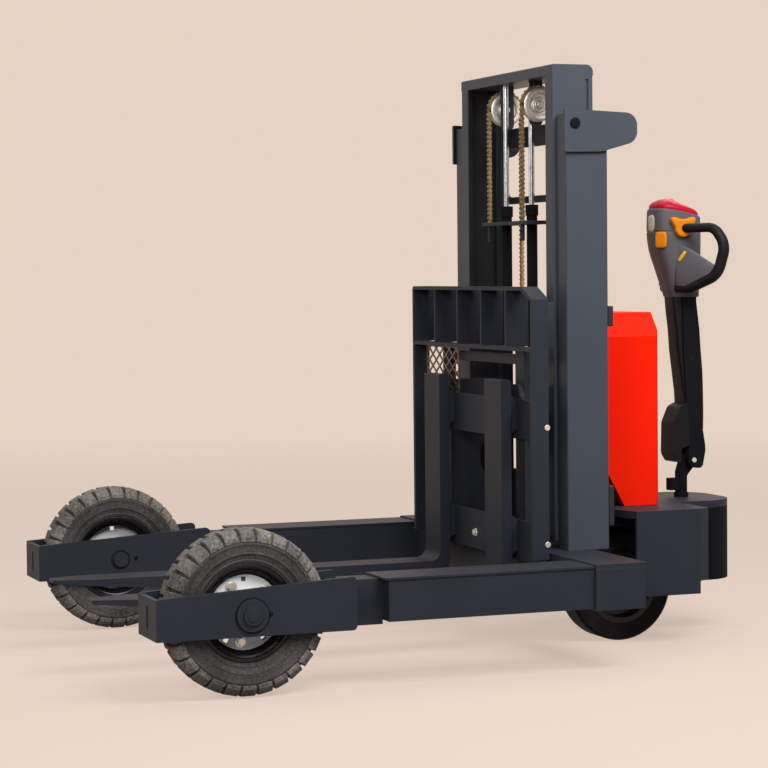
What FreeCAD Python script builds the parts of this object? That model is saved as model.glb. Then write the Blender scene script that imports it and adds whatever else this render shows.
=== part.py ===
"""Electric pallet stacker for rough floors: straddle legs, two-stage mast, drive and tiller.

Millimetres. +X points to the fork tips, +Y to the left side, +Z up. The origin lies on the
floor under the middle of the machine. Distances "behind" are measured rearward from the
front axle, because the legs, mast, drive and tiller are all set out from it.
"""
import FreeCAD, Part
import math
import os

Vec = FreeCAD.Vector

# Clearances and general plate sizes
RUNNING = 0.05
SEAT = 0.3
MOVING = 6.0

# Front wheels
TYRE_R = 207.0
TYRE_W = 112.0
BEAD_R = TYRE_R - 85.0
LUGS = 28
LUG_H = 12.0
RIM_WELL_R = BEAD_R - 30.0
HUB_R = 34.0
AXLE_R = 15.0
WELL_W = 142.0

# Legs
LEG_INNER_Y = 549.0
WHEEL_PLATE_T = 12.0
WHEEL_PLATE_FRONT = 240.0
WHEEL_PLATE_REAR = 270.0
WHEEL_PLATE_LOW = 155.0
WHEEL_PLATE_FRONT_TOP = 257.0
WHEEL_PLATE_REAR_TOP = 288.0
AXLE_BOSS_R = 40.0
AXLE_BOSS_T = 6.0
LEG_BOX_FRONT = 363.0
LEG_BOX_W = 135.0
LEG_LOW = 166.0
LEG_TOP = 276.0
LEG_CAP_T = 6.0

# Base beam between the legs
BEAM_FRONT = 925.0
BEAM_DEPTH = 141.0
BEAM_LOW = 161.0
BEAM_TOP = 280.0
BEAM_INSET = 15.0

# Outer mast
OUTER_Y = 385.0
OUTER_FRONT = BEAM_FRONT + 69.0
OUTER_DEPTH = 122.0
OUTER_TOP = 1450.0
CHANNEL_WEB = 14.0
CHANNEL_FLANGE = 15.0
CHANNEL_W = 60.0
CROSSBAR_T = 14.0
CROSSBAR_HEIGHTS = ((342.0, 450.0), (880.0, 935.0))
BRACE_FRONT = 986.0
BRACE_REACH = 214.0
BRACE_H = 115.0

# Inner mast
INNER_GAP = 6.0
INNER_STEP = 9.0
INNER_W = 49.0
INNER_LOW = 300.0
INNER_RISE = 136.0
TOP_PLATE_T = 29.0
TIE_T = 8.0
LADDER_TOP = 143.0
LADDER_H = 218.0
LIFT_STAGE = 700.0
MAST_ROLLER_HEIGHTS = (350.0, 560.0)

# Lift chains, sheaves and cylinders
CHAIN_Y = 115.0
CHAIN_W = 14.0
CHAIN_T = 12.0
CHAIN_FOOT = 690.0
SHEAVE_BEHIND = OUTER_FRONT + 41.0
SHEAVE_DROP = 96.0
SHEAVE_R = 43.0
HANGER_T = 4.0
CYLINDER_BEHIND = OUTER_FRONT + 32.0
CYLINDER_Y = 88.0
CYLINDER_R = 15.0
CYLINDER_DROP = 235.0
ANCHOR_DROP = 55.0
ROD_R = 8.0

# Carriage
CARRIAGE_FRONT = OUTER_FRONT - 125.0
BACKREST_HALF_W = 432.0
BACKREST_LOW = 817.0
BACKREST_H = 172.0
BACKREST_DEPTH = 48.0
BACKREST_T = 10.0
BACKREST_CELLS = 5
RIB_DEPTH = 60.0
CORNER_CUT_Y = 67.0
CORNER_CUT_Z = 31.0
SIDE_BAR_LOW = 265.0
SIDE_BAR_T = 14.0
PLATE_SETBACK = 26.0
PLATE_T = 14.0
PLATE_HEIGHTS = ((250.0, 358.0), (578.0, 684.0))
ROLLER_PLATE_Y = 247.0
ROLLER_R = 38.0
CARRIAGE_ROLLER_HEIGHTS = (356.0, 668.0)
MESH_OUTER_Y = BACKREST_HALF_W - 44.0
MESH_INNER_Y = MESH_OUTER_Y - 247.0
MESH_PITCH_Y = 52.0
MESH_PITCH_Z = 34.0
MESH_STRAND = 5.0
MESH_T = 3.0

# Forks
FORK_Y = 222.5
FORK_W = 115.0
FORK_T = 42.0
FORK_TOP = 202.0
FORK_SHANK_T = 30.0
FORK_AHEAD = 24.0
FORK_SHANK_TOP = 738.0
FORK_TIP_T = 10.0
TIP_REACH = 281.0

# Drive section
DRIVE_R = 153.0
DRIVE_W = 90.0
DRIVE_Y = 170.0
DRIVE_RIM_R = 104.0
DRIVE_TABLE_R = 96.0
COVER_Y = 347.0
COVER_T = 12.0
COVER_FRONT = 1217.0
COVER_LENGTH = 195.0
COVER_LOW = 137.0
CORNER_REACH = 34.0
CORNER_SKEW = 19.0
CORNER_LOW = 172.0
DECK_TOP = 372.0
DECK_T = 20.0
NOSE_HALF_W = 150.0
NOSE_LENGTH = 199.0
NOSE_R = 105.0
NOSE_LOW = 145.0
NOSE_WALL = 8.0
CASTER_Y = 220.0
CASTER_R = 75.0
CASTER_W = 46.0
CASTER_TRAIL = 36.0

# Battery and its cover
BATTERY_COVER_LENGTH = 199.0
BATTERY_COVER_HALF_W = 190.0
BATTERY_COVER_TOP = 912.0
BATTERY_COVER_EAVES = 845.0
BATTERY_COVER_WALL = 5.0
BATTERY_COVER_CORNER = 18.0
CHIN_TOP = 535.0
CHIN_DEPTH = 87.0
BATTERY_TOP = 760.0

# Tiller
COLUMN_W = 34.0
COLUMN_DEPTH = 22.0
TILT_SETBACK = 21.0
TILT_Z = 480.0
ARM_DEPTH = 43.0
ARM_HALF_W = 38.0
ARM_CHEEK_T = 16.0
HEAD_LOW = 950.0
HEAD_H = 257.0
HEAD_SOCKET = 30.0
CAP_H = 29.0
HANDLE_R = 13.5

# Worked out from the sizes above
BEAM_REAR = BEAM_FRONT + BEAM_DEPTH
OUTER_REAR = OUTER_FRONT + OUTER_DEPTH
INNER_Y = OUTER_Y - CHANNEL_W - INNER_GAP
INNER_FRONT = OUTER_FRONT - INNER_STEP
INNER_REAR = OUTER_REAR - INNER_STEP - 1.0
INNER_TOP = OUTER_TOP + INNER_RISE
SHEAVE_Z = INNER_TOP - SHEAVE_DROP
CYLINDER_TOP = OUTER_TOP - CYLINDER_DROP
ANCHOR_Z = CYLINDER_TOP - ANCHOR_DROP
BACKREST_TOP = BACKREST_LOW + BACKREST_H
PLATE_FRONT = CARRIAGE_FRONT + PLATE_SETBACK
PLATE_BACK = PLATE_FRONT + PLATE_T
COVER_REAR = COVER_FRONT + COVER_LENGTH
NOSE_FRONT = COVER_REAR + CORNER_REACH
NOSE_REAR = NOSE_FRONT + NOSE_LENGTH
DRIVE_BEHIND = BEAM_REAR + DRIVE_R + 16.0
CASTER_BEHIND = DRIVE_BEHIND + 55.0
BATTERY_COVER_FRONT = OUTER_REAR + 54.0
BATTERY_COVER_REAR = BATTERY_COVER_FRONT + BATTERY_COVER_LENGTH
TILLER_BEHIND = NOSE_FRONT + 87.0
TILT_BEHIND = TILLER_BEHIND + TILT_SETBACK
HEAD_TOP = HEAD_LOW + HEAD_H
AXLE_Z = TYRE_R
AXLE_X = (NOSE_REAR - TIP_REACH) / 2.0
WHEEL_Y = LEG_INNER_Y + WHEEL_PLATE_T + WELL_W / 2.0
OUTER_PLATE_Y = LEG_INNER_Y + 2 * WHEEL_PLATE_T + WELL_W
BEAM_HALF_W = OUTER_PLATE_Y - BEAM_INSET
SHEAVE_PITCH_R = SHEAVE_R + CHAIN_T / 2.0 + SEAT
DECK_LOW = DECK_TOP - DECK_T


def behind(distance):
    """X of a point that lies this far behind the front axle."""
    return AXLE_X - distance


def box(x0, x1, y0, y1, z0, z1):
    low = Vec(min(x0, x1), min(y0, y1), min(z0, z1))
    high = Vec(max(x0, x1), max(y0, y1), max(z0, z1))
    size = high - low
    return Part.makeBox(size.x, size.y, size.z, low)


def cylinder(centre, axis, radius, length):
    """Cylinder that starts at centre and runs along axis."""
    return Part.makeCylinder(radius, length, Vec(*centre), Vec(*axis))


def outline(corners):
    """Closed wire through (u, v, radius) corners in the XY plane, each corner rounded."""
    count = len(corners)
    edges = []
    last_end = None
    first_start = None
    for i in range(count):
        before = Vec(corners[i - 1][0], corners[i - 1][1], 0)
        here = Vec(corners[i][0], corners[i][1], 0)
        after = Vec(corners[(i + 1) % count][0], corners[(i + 1) % count][1], 0)
        radius = corners[i][2]
        start = here
        end = here
        arc = None
        if radius > 0:
            to_before = (before - here).normalize()
            to_after = (after - here).normalize()
            half = to_before.getAngle(to_after) / 2.0
            reach = radius / math.tan(half)
            start = here + to_before * reach
            end = here + to_after * reach
            bisector = (to_before + to_after).normalize()
            middle = here + bisector * (radius / math.sin(half) - radius)
            arc = Part.Arc(start, middle, end).toShape()
        if last_end is None:
            first_start = start
        elif last_end.distanceToPoint(start) > 1e-6:
            edges.append(Part.LineSegment(last_end, start).toShape())
        if arc is not None:
            edges.append(arc)
        last_end = end
    if last_end.distanceToPoint(first_start) > 1e-6:
        edges.append(Part.LineSegment(last_end, first_start).toShape())
    return Part.Wire(edges)


def plate_y(corners, y0, y1):
    """Plate from an outline in X and Z, between two Y values."""
    face = Part.Face(outline(corners))
    face.rotate(Vec(0, 0, 0), Vec(1, 0, 0), 90)
    face.translate(Vec(0, max(y0, y1), 0))
    return face.extrude(Vec(0, -abs(y1 - y0), 0))


def plate_z(corners, z0, z1):
    """Plate from an outline in X and Y, between two heights."""
    face = Part.Face(outline(corners))
    face.translate(Vec(0, 0, z0))
    return face.extrude(Vec(0, 0, z1 - z0))


def plate_x(corners, x0, x1):
    """Plate from an outline in Y and Z, between two X values."""
    face = Part.Face(outline(corners))
    face.rotate(Vec(0, 0, 0), Vec(1, 1, 1), 120)
    face.translate(Vec(min(x0, x1), 0, 0))
    return face.extrude(Vec(abs(x1 - x0), 0, 0))


def rectangle(u0, u1, v0, v1, radius=0.0):
    return [(u0, v0, radius), (u1, v0, radius), (u1, v1, radius), (u0, v1, radius)]


def turned(profile, centre):
    """Ring about a Y axis through centre, from (offset along Y, radius, corner radius)."""
    face = Part.Face(outline(profile))
    face.rotate(Vec(0, 0, 0), Vec(0, 0, 1), 90)
    ring = face.revolve(Vec(0, 0, 0), Vec(0, 1, 0), 360)
    ring.translate(Vec(*centre))
    return ring


def mirrored(shape):
    return shape.mirror(Vec(0, 0, 0), Vec(0, 1, 0))


def fused(shapes):
    first = shapes[0]
    if len(shapes) == 1:
        return first
    return first.fuse(shapes[1:]).removeSplitter()


def save(name, shape):
    shape.exportStep("parts/" + name + ".step")
    print(name, len(shape.Solids), "solids", round(shape.Volume / 1e6, 3), "litres", shape.isValid())


def save_pair(name, shape):
    save(name + "_left", shape)
    save(name + "_right", mirrored(shape))


def save_both(name, shape):
    save(name, Part.makeCompound([shape, mirrored(shape)]))


def leg():
    """Left outrigger: box beam, two tapered wheel plates and the pieces that tie them."""
    inner_y = LEG_INNER_Y + WHEEL_PLATE_T
    outer_y = inner_y + WELL_W
    wheel_plate = [
        (behind(-WHEEL_PLATE_FRONT), WHEEL_PLATE_LOW, 4),
        (behind(-WHEEL_PLATE_FRONT), WHEEL_PLATE_FRONT_TOP, 6),
        (behind(WHEEL_PLATE_REAR), WHEEL_PLATE_REAR_TOP, 12),
        (behind(WHEEL_PLATE_REAR), WHEEL_PLATE_LOW, 12),
    ]
    hub = (behind(0), LEG_INNER_Y - 1, AXLE_Z)
    axle_hole = cylinder(hub, (0, 1, 0), AXLE_R + RUNNING, OUTER_PLATE_Y - LEG_INNER_Y + 20)
    slot = plate_x(rectangle(WHEEL_Y - 8, WHEEL_Y + 8, WHEEL_PLATE_LOW + 20, WHEEL_PLATE_FRONT_TOP - 22, 7.9),
                   behind(14 - WHEEL_PLATE_FRONT), behind(-WHEEL_PLATE_FRONT - 2))
    pieces = [
        plate_y(wheel_plate, LEG_INNER_Y, inner_y),
        plate_y(wheel_plate, outer_y, OUTER_PLATE_Y),
        cylinder((behind(0), OUTER_PLATE_Y, AXLE_Z), (0, 1, 0), AXLE_BOSS_R, AXLE_BOSS_T),
        box(behind(-WHEEL_PLATE_FRONT), behind(12 - WHEEL_PLATE_FRONT), LEG_INNER_Y, OUTER_PLATE_Y,
            WHEEL_PLATE_LOW, WHEEL_PLATE_FRONT_TOP - 2),
        box(behind(WHEEL_PLATE_REAR - 34), behind(WHEEL_PLATE_REAR - 8), LEG_INNER_Y, OUTER_PLATE_Y,
            WHEEL_PLATE_LOW + 12, WHEEL_PLATE_REAR_TOP - 20),
        box(behind(WHEEL_PLATE_REAR - 10), behind(LEG_BOX_FRONT), inner_y, outer_y - 60,
            WHEEL_PLATE_LOW, LEG_TOP - LEG_CAP_T),
        box(behind(LEG_BOX_FRONT), behind(BEAM_FRONT), LEG_INNER_Y + 6, LEG_INNER_Y + 6 + LEG_BOX_W,
            LEG_LOW, LEG_TOP - LEG_CAP_T),
        box(behind(LEG_BOX_FRONT - 12), behind(BEAM_FRONT), LEG_INNER_Y + 4, LEG_INNER_Y + 9 + LEG_BOX_W,
            LEG_TOP - LEG_CAP_T, LEG_TOP),
    ]
    return fused(pieces).cut(axle_hole).cut(slot)


def front_axle():
    length = OUTER_PLATE_Y + AXLE_BOSS_T - LEG_INNER_Y + 16
    pin = cylinder((behind(0), LEG_INNER_Y - 8, AXLE_Z), (0, 1, 0), AXLE_R, length)
    collar = cylinder((behind(0), LEG_INNER_Y - SEAT, AXLE_Z), (0, -1, 0), AXLE_R + 6, 8)
    head = cylinder((behind(0), OUTER_PLATE_Y + AXLE_BOSS_T + SEAT, AXLE_Z), (0, 1, 0), AXLE_R + 9, 6)
    return fused([pin, collar, head])


def lug_section(offset, tip_r, root_r, turn):
    """Toothed wire across the wheel's axis; each lug has two tip and two root corners."""
    pitch = 2 * math.pi / LUGS
    points = []
    for i in range(LUGS):
        for share, radius in ((-0.42, root_r), (-0.38, tip_r), (0.38, tip_r), (0.42, root_r)):
            angle = (i + turn + share) * pitch
            points.append(Vec(radius * math.sin(angle), offset, radius * math.cos(angle)))
    return Part.makePolygon(points + points[:1])


def front_tyre():
    """Block tyre: two rows of lugs, half a pitch apart, that run down over the shoulders."""
    # distance from the middle, drop of the lug's top below the tread, depth of the groove
    stations = ((0.0, 0.0, LUG_H), (TYRE_W / 2 - 16, 2.0, LUG_H), (TYRE_W / 2, 27.0, 2.0),
                (TYRE_W / 2 - 12, TYRE_R - BEAD_R - 4, 1.0))
    rows = []
    for side, turn in ((1, 0.0), (-1, 0.5)):
        wires = []
        for offset, drop, depth in stations:
            wires.append(lug_section(side * offset, TYRE_R - drop, TYRE_R - drop - depth, turn))
        rows.append(Part.makeLoft(wires, True, True))
    bore = cylinder((0, -TYRE_W, 0), (0, 1, 0), BEAD_R, 2 * TYRE_W)
    tyre = fused(rows).cut(bore)
    tyre.translate(Vec(behind(0), WHEEL_Y, AXLE_Z))
    return tyre


def front_rim():
    """Rim with flanges, well, disc and hub as one turned section, with windows in the disc."""
    half = TYRE_W / 2.0 - 15
    outer = BEAD_R - SEAT
    bore = AXLE_R + RUNNING
    profile = [
        (-half, RIM_WELL_R + 10, 0), (-half, outer, 0), (half, outer, 0), (half, RIM_WELL_R + 10, 0),
        (half - 10, RIM_WELL_R, 0), (18, RIM_WELL_R, 0), (18, HUB_R, 0), (48, HUB_R - 4, 0), (48, bore, 0),
        (-48, bore, 0), (-48, HUB_R - 4, 0), (10, HUB_R, 0), (10, RIM_WELL_R, 0), (-half + 10, RIM_WELL_R, 0),
    ]
    rim = turned(profile, (0, 0, 0))
    for i in range(5):
        window = plate_y(rectangle(-17, 17, RIM_WELL_R - 24, RIM_WELL_R - 7, 5), 0, 30)
        window.rotate(Vec(0, 0, 0), Vec(0, 1, 0), 180 + i * 72)
        rim = rim.cut(window)
    rim.translate(Vec(behind(0), WHEEL_Y, AXLE_Z))
    return rim


def base_beam():
    body = box(behind(BEAM_FRONT), behind(BEAM_REAR), -BEAM_HALF_W, BEAM_HALF_W, BEAM_LOW, BEAM_TOP - 12)
    top = box(behind(BEAM_FRONT), behind(BEAM_REAR + 4), -BEAM_HALF_W + 2, BEAM_HALF_W - 2,
              BEAM_TOP - 12, BEAM_TOP)
    return fused([body, top])


def channel(y_outer, front, rear, width, low, high):
    """Upright opening inward: web on the outside, one flange in front and one behind."""
    inner = y_outer - width
    corners = [
        (behind(rear), y_outer, 5), (behind(rear), inner, 3),
        (behind(rear - CHANNEL_FLANGE), inner, 3), (behind(rear - CHANNEL_FLANGE), y_outer - CHANNEL_WEB, 5),
        (behind(front + CHANNEL_FLANGE), y_outer - CHANNEL_WEB, 5), (behind(front + CHANNEL_FLANGE), inner, 3),
        (behind(front), inner, 3), (behind(front), y_outer, 5),
    ]
    return plate_z(corners, low, high)


def outer_upright():
    return channel(OUTER_Y, OUTER_FRONT, OUTER_REAR, CHANNEL_W, BEAM_TOP, OUTER_TOP)


def mast_brace():
    """Bracket plates outside the top of the outer uprights, rounded at the rear."""
    top = OUTER_TOP + 12
    rear = BRACE_FRONT + BRACE_REACH
    plate = [
        (behind(BRACE_FRONT), top, 4), (behind(BRACE_FRONT), top - BRACE_H, 4),
        (behind(BRACE_FRONT + 112), top - BRACE_H + 2, 40), (behind(rear), top - BRACE_H + 30, 34),
        (behind(rear), top - 10, 34),
    ]
    side = plate_y(plate, OUTER_Y, OUTER_Y + 10)
    return Part.makeCompound([side, mirrored(side)])


def mast_crossbars():
    """Plates across the back of the outer uprights."""
    bars = []
    for low, high in CROSSBAR_HEIGHTS:
        bars.append(plate_x(rectangle(-OUTER_Y, OUTER_Y, low, high, 4), behind(OUTER_REAR),
                            behind(OUTER_REAR + CROSSBAR_T)))
    return Part.makeCompound(bars)


def lift_cylinder():
    barrel = cylinder((behind(CYLINDER_BEHIND), CYLINDER_Y, BEAM_TOP), (0, 0, 1), CYLINDER_R, CYLINDER_TOP - BEAM_TOP)
    gland = cylinder((behind(CYLINDER_BEHIND), CYLINDER_Y, CYLINDER_TOP - 30), (0, 0, 1), CYLINDER_R + 3, 30)
    bore = cylinder((behind(CYLINDER_BEHIND), CYLINDER_Y, BEAM_TOP + 20), (0, 0, 1), ROD_R + RUNNING,
                    CYLINDER_TOP - BEAM_TOP)
    return fused([barrel, gland]).cut(bore)


def chain_anchor():
    """Plate round both cylinders that holds the fixed ends of the chains."""
    x0 = behind(CYLINDER_BEHIND + CYLINDER_R + 10)
    x1 = behind(SHEAVE_BEHIND - SHEAVE_PITCH_R - 10)
    plate = plate_z(rectangle(x0, x1, -CHAIN_Y - 40, CHAIN_Y + 40, 8), ANCHOR_Z, ANCHOR_Z + 10)
    shape = plate
    for side in (1, -1):
        hole = cylinder((behind(CYLINDER_BEHIND), side * CYLINDER_Y, ANCHOR_Z - 1), (0, 0, 1), CYLINDER_R, 20)
        shape = shape.cut(hole)
        stud = cylinder((behind(SHEAVE_BEHIND - SHEAVE_PITCH_R), side * CHAIN_Y, ANCHOR_Z - 45), (0, 0, 1), 6, 46)
        shape = shape.fuse(stud)
    return shape.removeSplitter()


def chain_run(behind_x, low, high):
    x = behind(behind_x)
    return box(x - CHAIN_T / 2, x + CHAIN_T / 2, CHAIN_Y - CHAIN_W / 2, CHAIN_Y + CHAIN_W / 2, low, high)


def chain_wrap():
    """Half ring of chain over the sheave."""
    centre = Vec(behind(SHEAVE_BEHIND), CHAIN_Y - CHAIN_W / 2, SHEAVE_Z)
    outer = Part.makeCylinder(SHEAVE_R + SEAT + CHAIN_T, CHAIN_W, centre, Vec(0, 1, 0))
    inner = Part.makeCylinder(SHEAVE_R + SEAT, CHAIN_W, centre, Vec(0, 1, 0))
    reach = SHEAVE_R + CHAIN_T + 10
    lower = box(centre.x - reach, centre.x + reach, centre.y - 1, centre.y + CHAIN_W + 1, SHEAVE_Z - reach, SHEAVE_Z)
    return outer.cut(inner).cut(lower)


def sheave():
    half = CHAIN_W / 2.0 + 1.0
    profile = [
        (-half - 4, 12 + RUNNING, 0), (half + 4, 12 + RUNNING, 0), (half + 4, SHEAVE_R - 4, 0),
        (half, SHEAVE_R, 0), (-half, SHEAVE_R, 0), (-half - 4, SHEAVE_R - 4, 0),
    ]
    return turned(profile, (behind(SHEAVE_BEHIND), CHAIN_Y, SHEAVE_Z))


def inner_upright():
    body = channel(INNER_Y, INNER_FRONT, INNER_REAR, INNER_W, INNER_LOW, INNER_TOP - TOP_PLATE_T)
    groove = box(behind(INNER_REAR - 14), behind(INNER_REAR - 22), INNER_Y - 6, INNER_Y + 1,
                 INNER_LOW - 1, INNER_TOP - TOP_PLATE_T - 10)
    return body.cut(groove)


def inner_top():
    """Top plate, rounded at its rear edge, with the hangers that carry the sheave pins."""
    under = INNER_TOP - TOP_PLATE_T
    pieces = [plate_y(
        [(behind(INNER_FRONT), under, 0), (behind(INNER_FRONT), INNER_TOP, 4), (behind(INNER_REAR), INNER_TOP, 20),
         (behind(INNER_REAR), under, 0)], -INNER_Y, INNER_Y)]
    hanger = [
        (behind(SHEAVE_BEHIND - 20), under + 1, 0), (behind(SHEAVE_BEHIND - 20), SHEAVE_Z - 58, 16),
        (behind(SHEAVE_BEHIND + 20), SHEAVE_Z - 58, 16), (behind(SHEAVE_BEHIND + 20), under + 1, 0),
    ]
    for side in (1, -1):
        face = side * (CHAIN_Y - CHAIN_W / 2.0 - 7.0)
        pieces.append(plate_y(hanger, face, face - side * HANGER_T))
        pieces.append(cylinder((behind(SHEAVE_BEHIND), face - side * HANGER_T, SHEAVE_Z), (0, side, 0), 12, 32))
    return fused(pieces)


def lift_rods():
    rod = cylinder((behind(CYLINDER_BEHIND), CYLINDER_Y, CYLINDER_TOP - LIFT_STAGE), (0, 0, 1), ROD_R,
                   INNER_TOP - TOP_PLATE_T - CYLINDER_TOP + LIFT_STAGE)
    return Part.makeCompound([rod, mirrored(rod)])


def inner_ties():
    """Plates between the rear flanges of the inner uprights: a foot plate and a ladder frame."""
    half = INNER_Y - INNER_W
    top = INNER_TOP - LADDER_TOP
    back = behind(INNER_REAR)
    front = behind(INNER_REAR - TIE_T)
    foot = plate_x(rectangle(-half, half, INNER_LOW, INNER_LOW + 80), back, front)
    ladder = plate_x(rectangle(-half, half, top - LADDER_H, top), back, front)
    window = [(-half + 8, top - LADDER_H + 20, 36), (half - 8, top - LADDER_H + 20, 36), (half - 8, top - 58, 8),
              (-half + 8, top - 58, 8)]
    return Part.makeCompound([foot, ladder.cut(plate_x(window, back - 1, front + 1))])


def mast_rollers():
    """Rollers on the foot of the inner mast, inside the outer channels."""
    middle = behind((OUTER_FRONT + OUTER_REAR) / 2.0)
    radius = (OUTER_REAR - OUTER_FRONT) / 2.0 - CHANNEL_FLANGE - MOVING
    rollers = []
    for z in MAST_ROLLER_HEIGHTS:
        rollers.append(cylinder((middle, INNER_Y, z), (0, 1, 0), radius, OUTER_Y - CHANNEL_WEB - MOVING - INNER_Y))
    return Part.makeCompound(rollers)


def backrest():
    """Box frame open front to back, split into equal cells by deeper upright ribs."""
    back = behind(CARRIAGE_FRONT + BACKREST_DEPTH)
    front = behind(CARRIAGE_FRONT)
    half = BACKREST_HALF_W
    wall = BACKREST_T
    cut_y = half - CORNER_CUT_Y
    frame = [(-half, BACKREST_LOW, 6), (half, BACKREST_LOW, 0), (half, BACKREST_TOP - CORNER_CUT_Z, 4),
             (cut_y, BACKREST_TOP, 4), (-half, BACKREST_TOP, 12)]
    inside = [(-half + wall, BACKREST_LOW + wall, 4), (half - wall, BACKREST_LOW + wall, 4),
              (half - wall, BACKREST_TOP - CORNER_CUT_Z - 6, 4), (cut_y - 4, BACKREST_TOP - wall, 4),
              (-half + wall, BACKREST_TOP - wall, 6)]
    shape = plate_x(frame, back, front).cut(plate_x(inside, back - 1, front + 1))
    ribs = []
    cell = (2 * half - wall) / BACKREST_CELLS
    for i in range(1, BACKREST_CELLS):
        y = -half + wall / 2 + i * cell
        ribs.append(box(behind(CARRIAGE_FRONT + RIB_DEPTH), front, y - 4, y + 4, BACKREST_LOW + wall,
                        BACKREST_TOP - wall))
    return fused([shape] + ribs)


def carriage_frame():
    """Side bars, set-back cross plates and the roller plates that reach between the uprights."""
    plate_front = behind(PLATE_FRONT)
    plate_back = behind(PLATE_BACK)
    post_back = behind(PLATE_BACK + 16)
    upper = PLATE_HEIGHTS[1][1]
    front = behind(CARRIAGE_FRONT)
    back = behind(CARRIAGE_FRONT + BACKREST_DEPTH)
    side = plate_y([(back, SIDE_BAR_LOW, 6), (front, SIDE_BAR_LOW, 6), (front, BACKREST_LOW, 0),
                    (back, BACKREST_LOW, 0)],
                   BACKREST_HALF_W, BACKREST_HALF_W - SIDE_BAR_T)
    post = box(plate_back, post_back, ROLLER_PLATE_Y - 15, ROLLER_PLATE_Y + 45, 300, BACKREST_LOW)
    roller_plate = plate_y(
        [(plate_back, 300, 6), (plate_back, 720, 6), (behind(1092), 720, 20), (behind(1092), 620, 20),
         (behind(1000), 520, 40), (behind(1000), 460, 40), (behind(1070), 400, 20), (behind(1070), 318, 20)],
        ROLLER_PLATE_Y - 15, ROLLER_PLATE_Y)
    gusset = plate_x([(ROLLER_PLATE_Y - 15, upper - 1, 0), (350, upper - 1, 0), (296, upper + 2, 26),
                      (284, upper + 40, 0), (ROLLER_PLATE_Y - 15, upper + 40, 0)], plate_front, plate_back)
    half = [side, post, roller_plate]
    cross = [gusset]
    for low, high in PLATE_HEIGHTS:
        cross.append(box(plate_front, plate_back, -BACKREST_HALF_W + 2, BACKREST_HALF_W - 2, low, high))
    cross.append(box(plate_back, post_back, -ROLLER_PLATE_Y - 40, ROLLER_PLATE_Y + 40, BACKREST_LOW - 39,
                     BACKREST_LOW - 12))
    cross.append(box(behind(1092), behind(1076), -ROLLER_PLATE_Y + 1, ROLLER_PLATE_Y - 1, CHAIN_FOOT - 58,
                     CHAIN_FOOT))
    return fused(half + [mirrored(s) for s in half] + cross)


def carriage_mesh():
    """Expanded-metal panel beside the far fork, from the upper cross plate to the backrest."""
    low = PLATE_HEIGHTS[1][1]
    high = BACKREST_LOW
    x0 = behind(PLATE_FRONT + 1 + MESH_T)
    x1 = behind(PLATE_FRONT + 1)
    width = MESH_OUTER_Y - MESH_INNER_Y
    border = plate_x(rectangle(-MESH_OUTER_Y, -MESH_INNER_Y, low, high), x0, x1)
    hole = plate_x(rectangle(-MESH_OUTER_Y + MESH_STRAND, -MESH_INNER_Y - MESH_STRAND, low + MESH_STRAND,
                             high - MESH_STRAND), x0 - 1, x1 + 1)
    slope = MESH_PITCH_Z / MESH_PITCH_Y
    rise = MESH_STRAND / 2 * math.hypot(1, slope)
    strands = []
    steps = int((width * slope + high - low) / MESH_PITCH_Z) + 1
    for i in range(steps):
        start = low + i * MESH_PITCH_Z
        for way in (1, -1):
            y_start = -MESH_OUTER_Y if way > 0 else -MESH_INNER_Y
            y_end = y_start + way * width
            end = start - width * slope
            strands.append(plate_x([(y_start, start - rise, 0), (y_end, end - rise, 0), (y_end, end + rise, 0),
                                    (y_start, start + rise, 0)], x0, x1))
    lattice = strands[0].fuse(strands[1:]).common(border)
    return lattice.fuse(border.cut(hole)).removeSplitter()


def carriage_rollers():
    shapes = []
    middle = behind((INNER_FRONT + INNER_REAR) / 2)
    for z in CARRIAGE_ROLLER_HEIGHTS:
        shapes.append(cylinder((middle, ROLLER_PLATE_Y, z), (0, 1, 0), ROLLER_R, 44))
    return Part.makeCompound(shapes)


def fork():
    """L-shaped fork: hooked shank, rounded heel and a blade that thins and narrows to its tip."""
    shank_front = behind(CARRIAGE_FRONT - FORK_AHEAD)
    shank_back = shank_front - FORK_SHANK_T
    plate_front = behind(PLATE_FRONT)
    tip = behind(-TIP_REACH)
    top = FORK_TOP
    near = FORK_Y - FORK_W / 2
    far = FORK_Y + FORK_W / 2
    side = [
        (shank_back, FORK_SHANK_TOP, 4), (shank_back, top - FORK_T, 34), (tip - 420, top - FORK_T, 60),
        (tip, top - FORK_TIP_T, 4), (tip, top, 4), (shank_front, top, 30), (shank_front, FORK_SHANK_TOP, 4),
    ]
    plan = [
        (shank_back - 5, near, 0), (shank_back - 5, far, 0), (tip - 110, far, 30), (tip, FORK_Y + FORK_W / 4, 12),
        (tip, FORK_Y - FORK_W / 4, 12), (tip - 110, near, 30),
    ]
    pieces = [plate_y(side, near, far).common(plate_z(plan, 0, FORK_SHANK_TOP + 10))]
    for low, high in PLATE_HEIGHTS:
        hook = [(shank_back + 1, low + 14, 0), (plate_front, low + 26, 0), (plate_front, high, 0),
                (shank_back + 1, high + 16, 0)]
        pieces.append(plate_y(hook, near + 6, far - 6))
    return fused(pieces)


def deck():
    """Deck plate with cut front corners, running back into the rounded nose."""
    half = [
        (behind(OUTER_REAR + CROSSBAR_T), 150, 0), (behind(OUTER_REAR + 44), 190, 0),
        (behind(COVER_FRONT), COVER_Y, 4), (behind(COVER_REAR), COVER_Y, 0),
        (behind(NOSE_FRONT), COVER_Y - CORNER_SKEW, 0),
        (behind(NOSE_FRONT), NOSE_HALF_W, 0), (behind(NOSE_REAR), NOSE_HALF_W, NOSE_R),
    ]
    return plate_z(half + [(x, -y, radius) for x, y, radius in reversed(half)], DECK_LOW, DECK_TOP)


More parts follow.
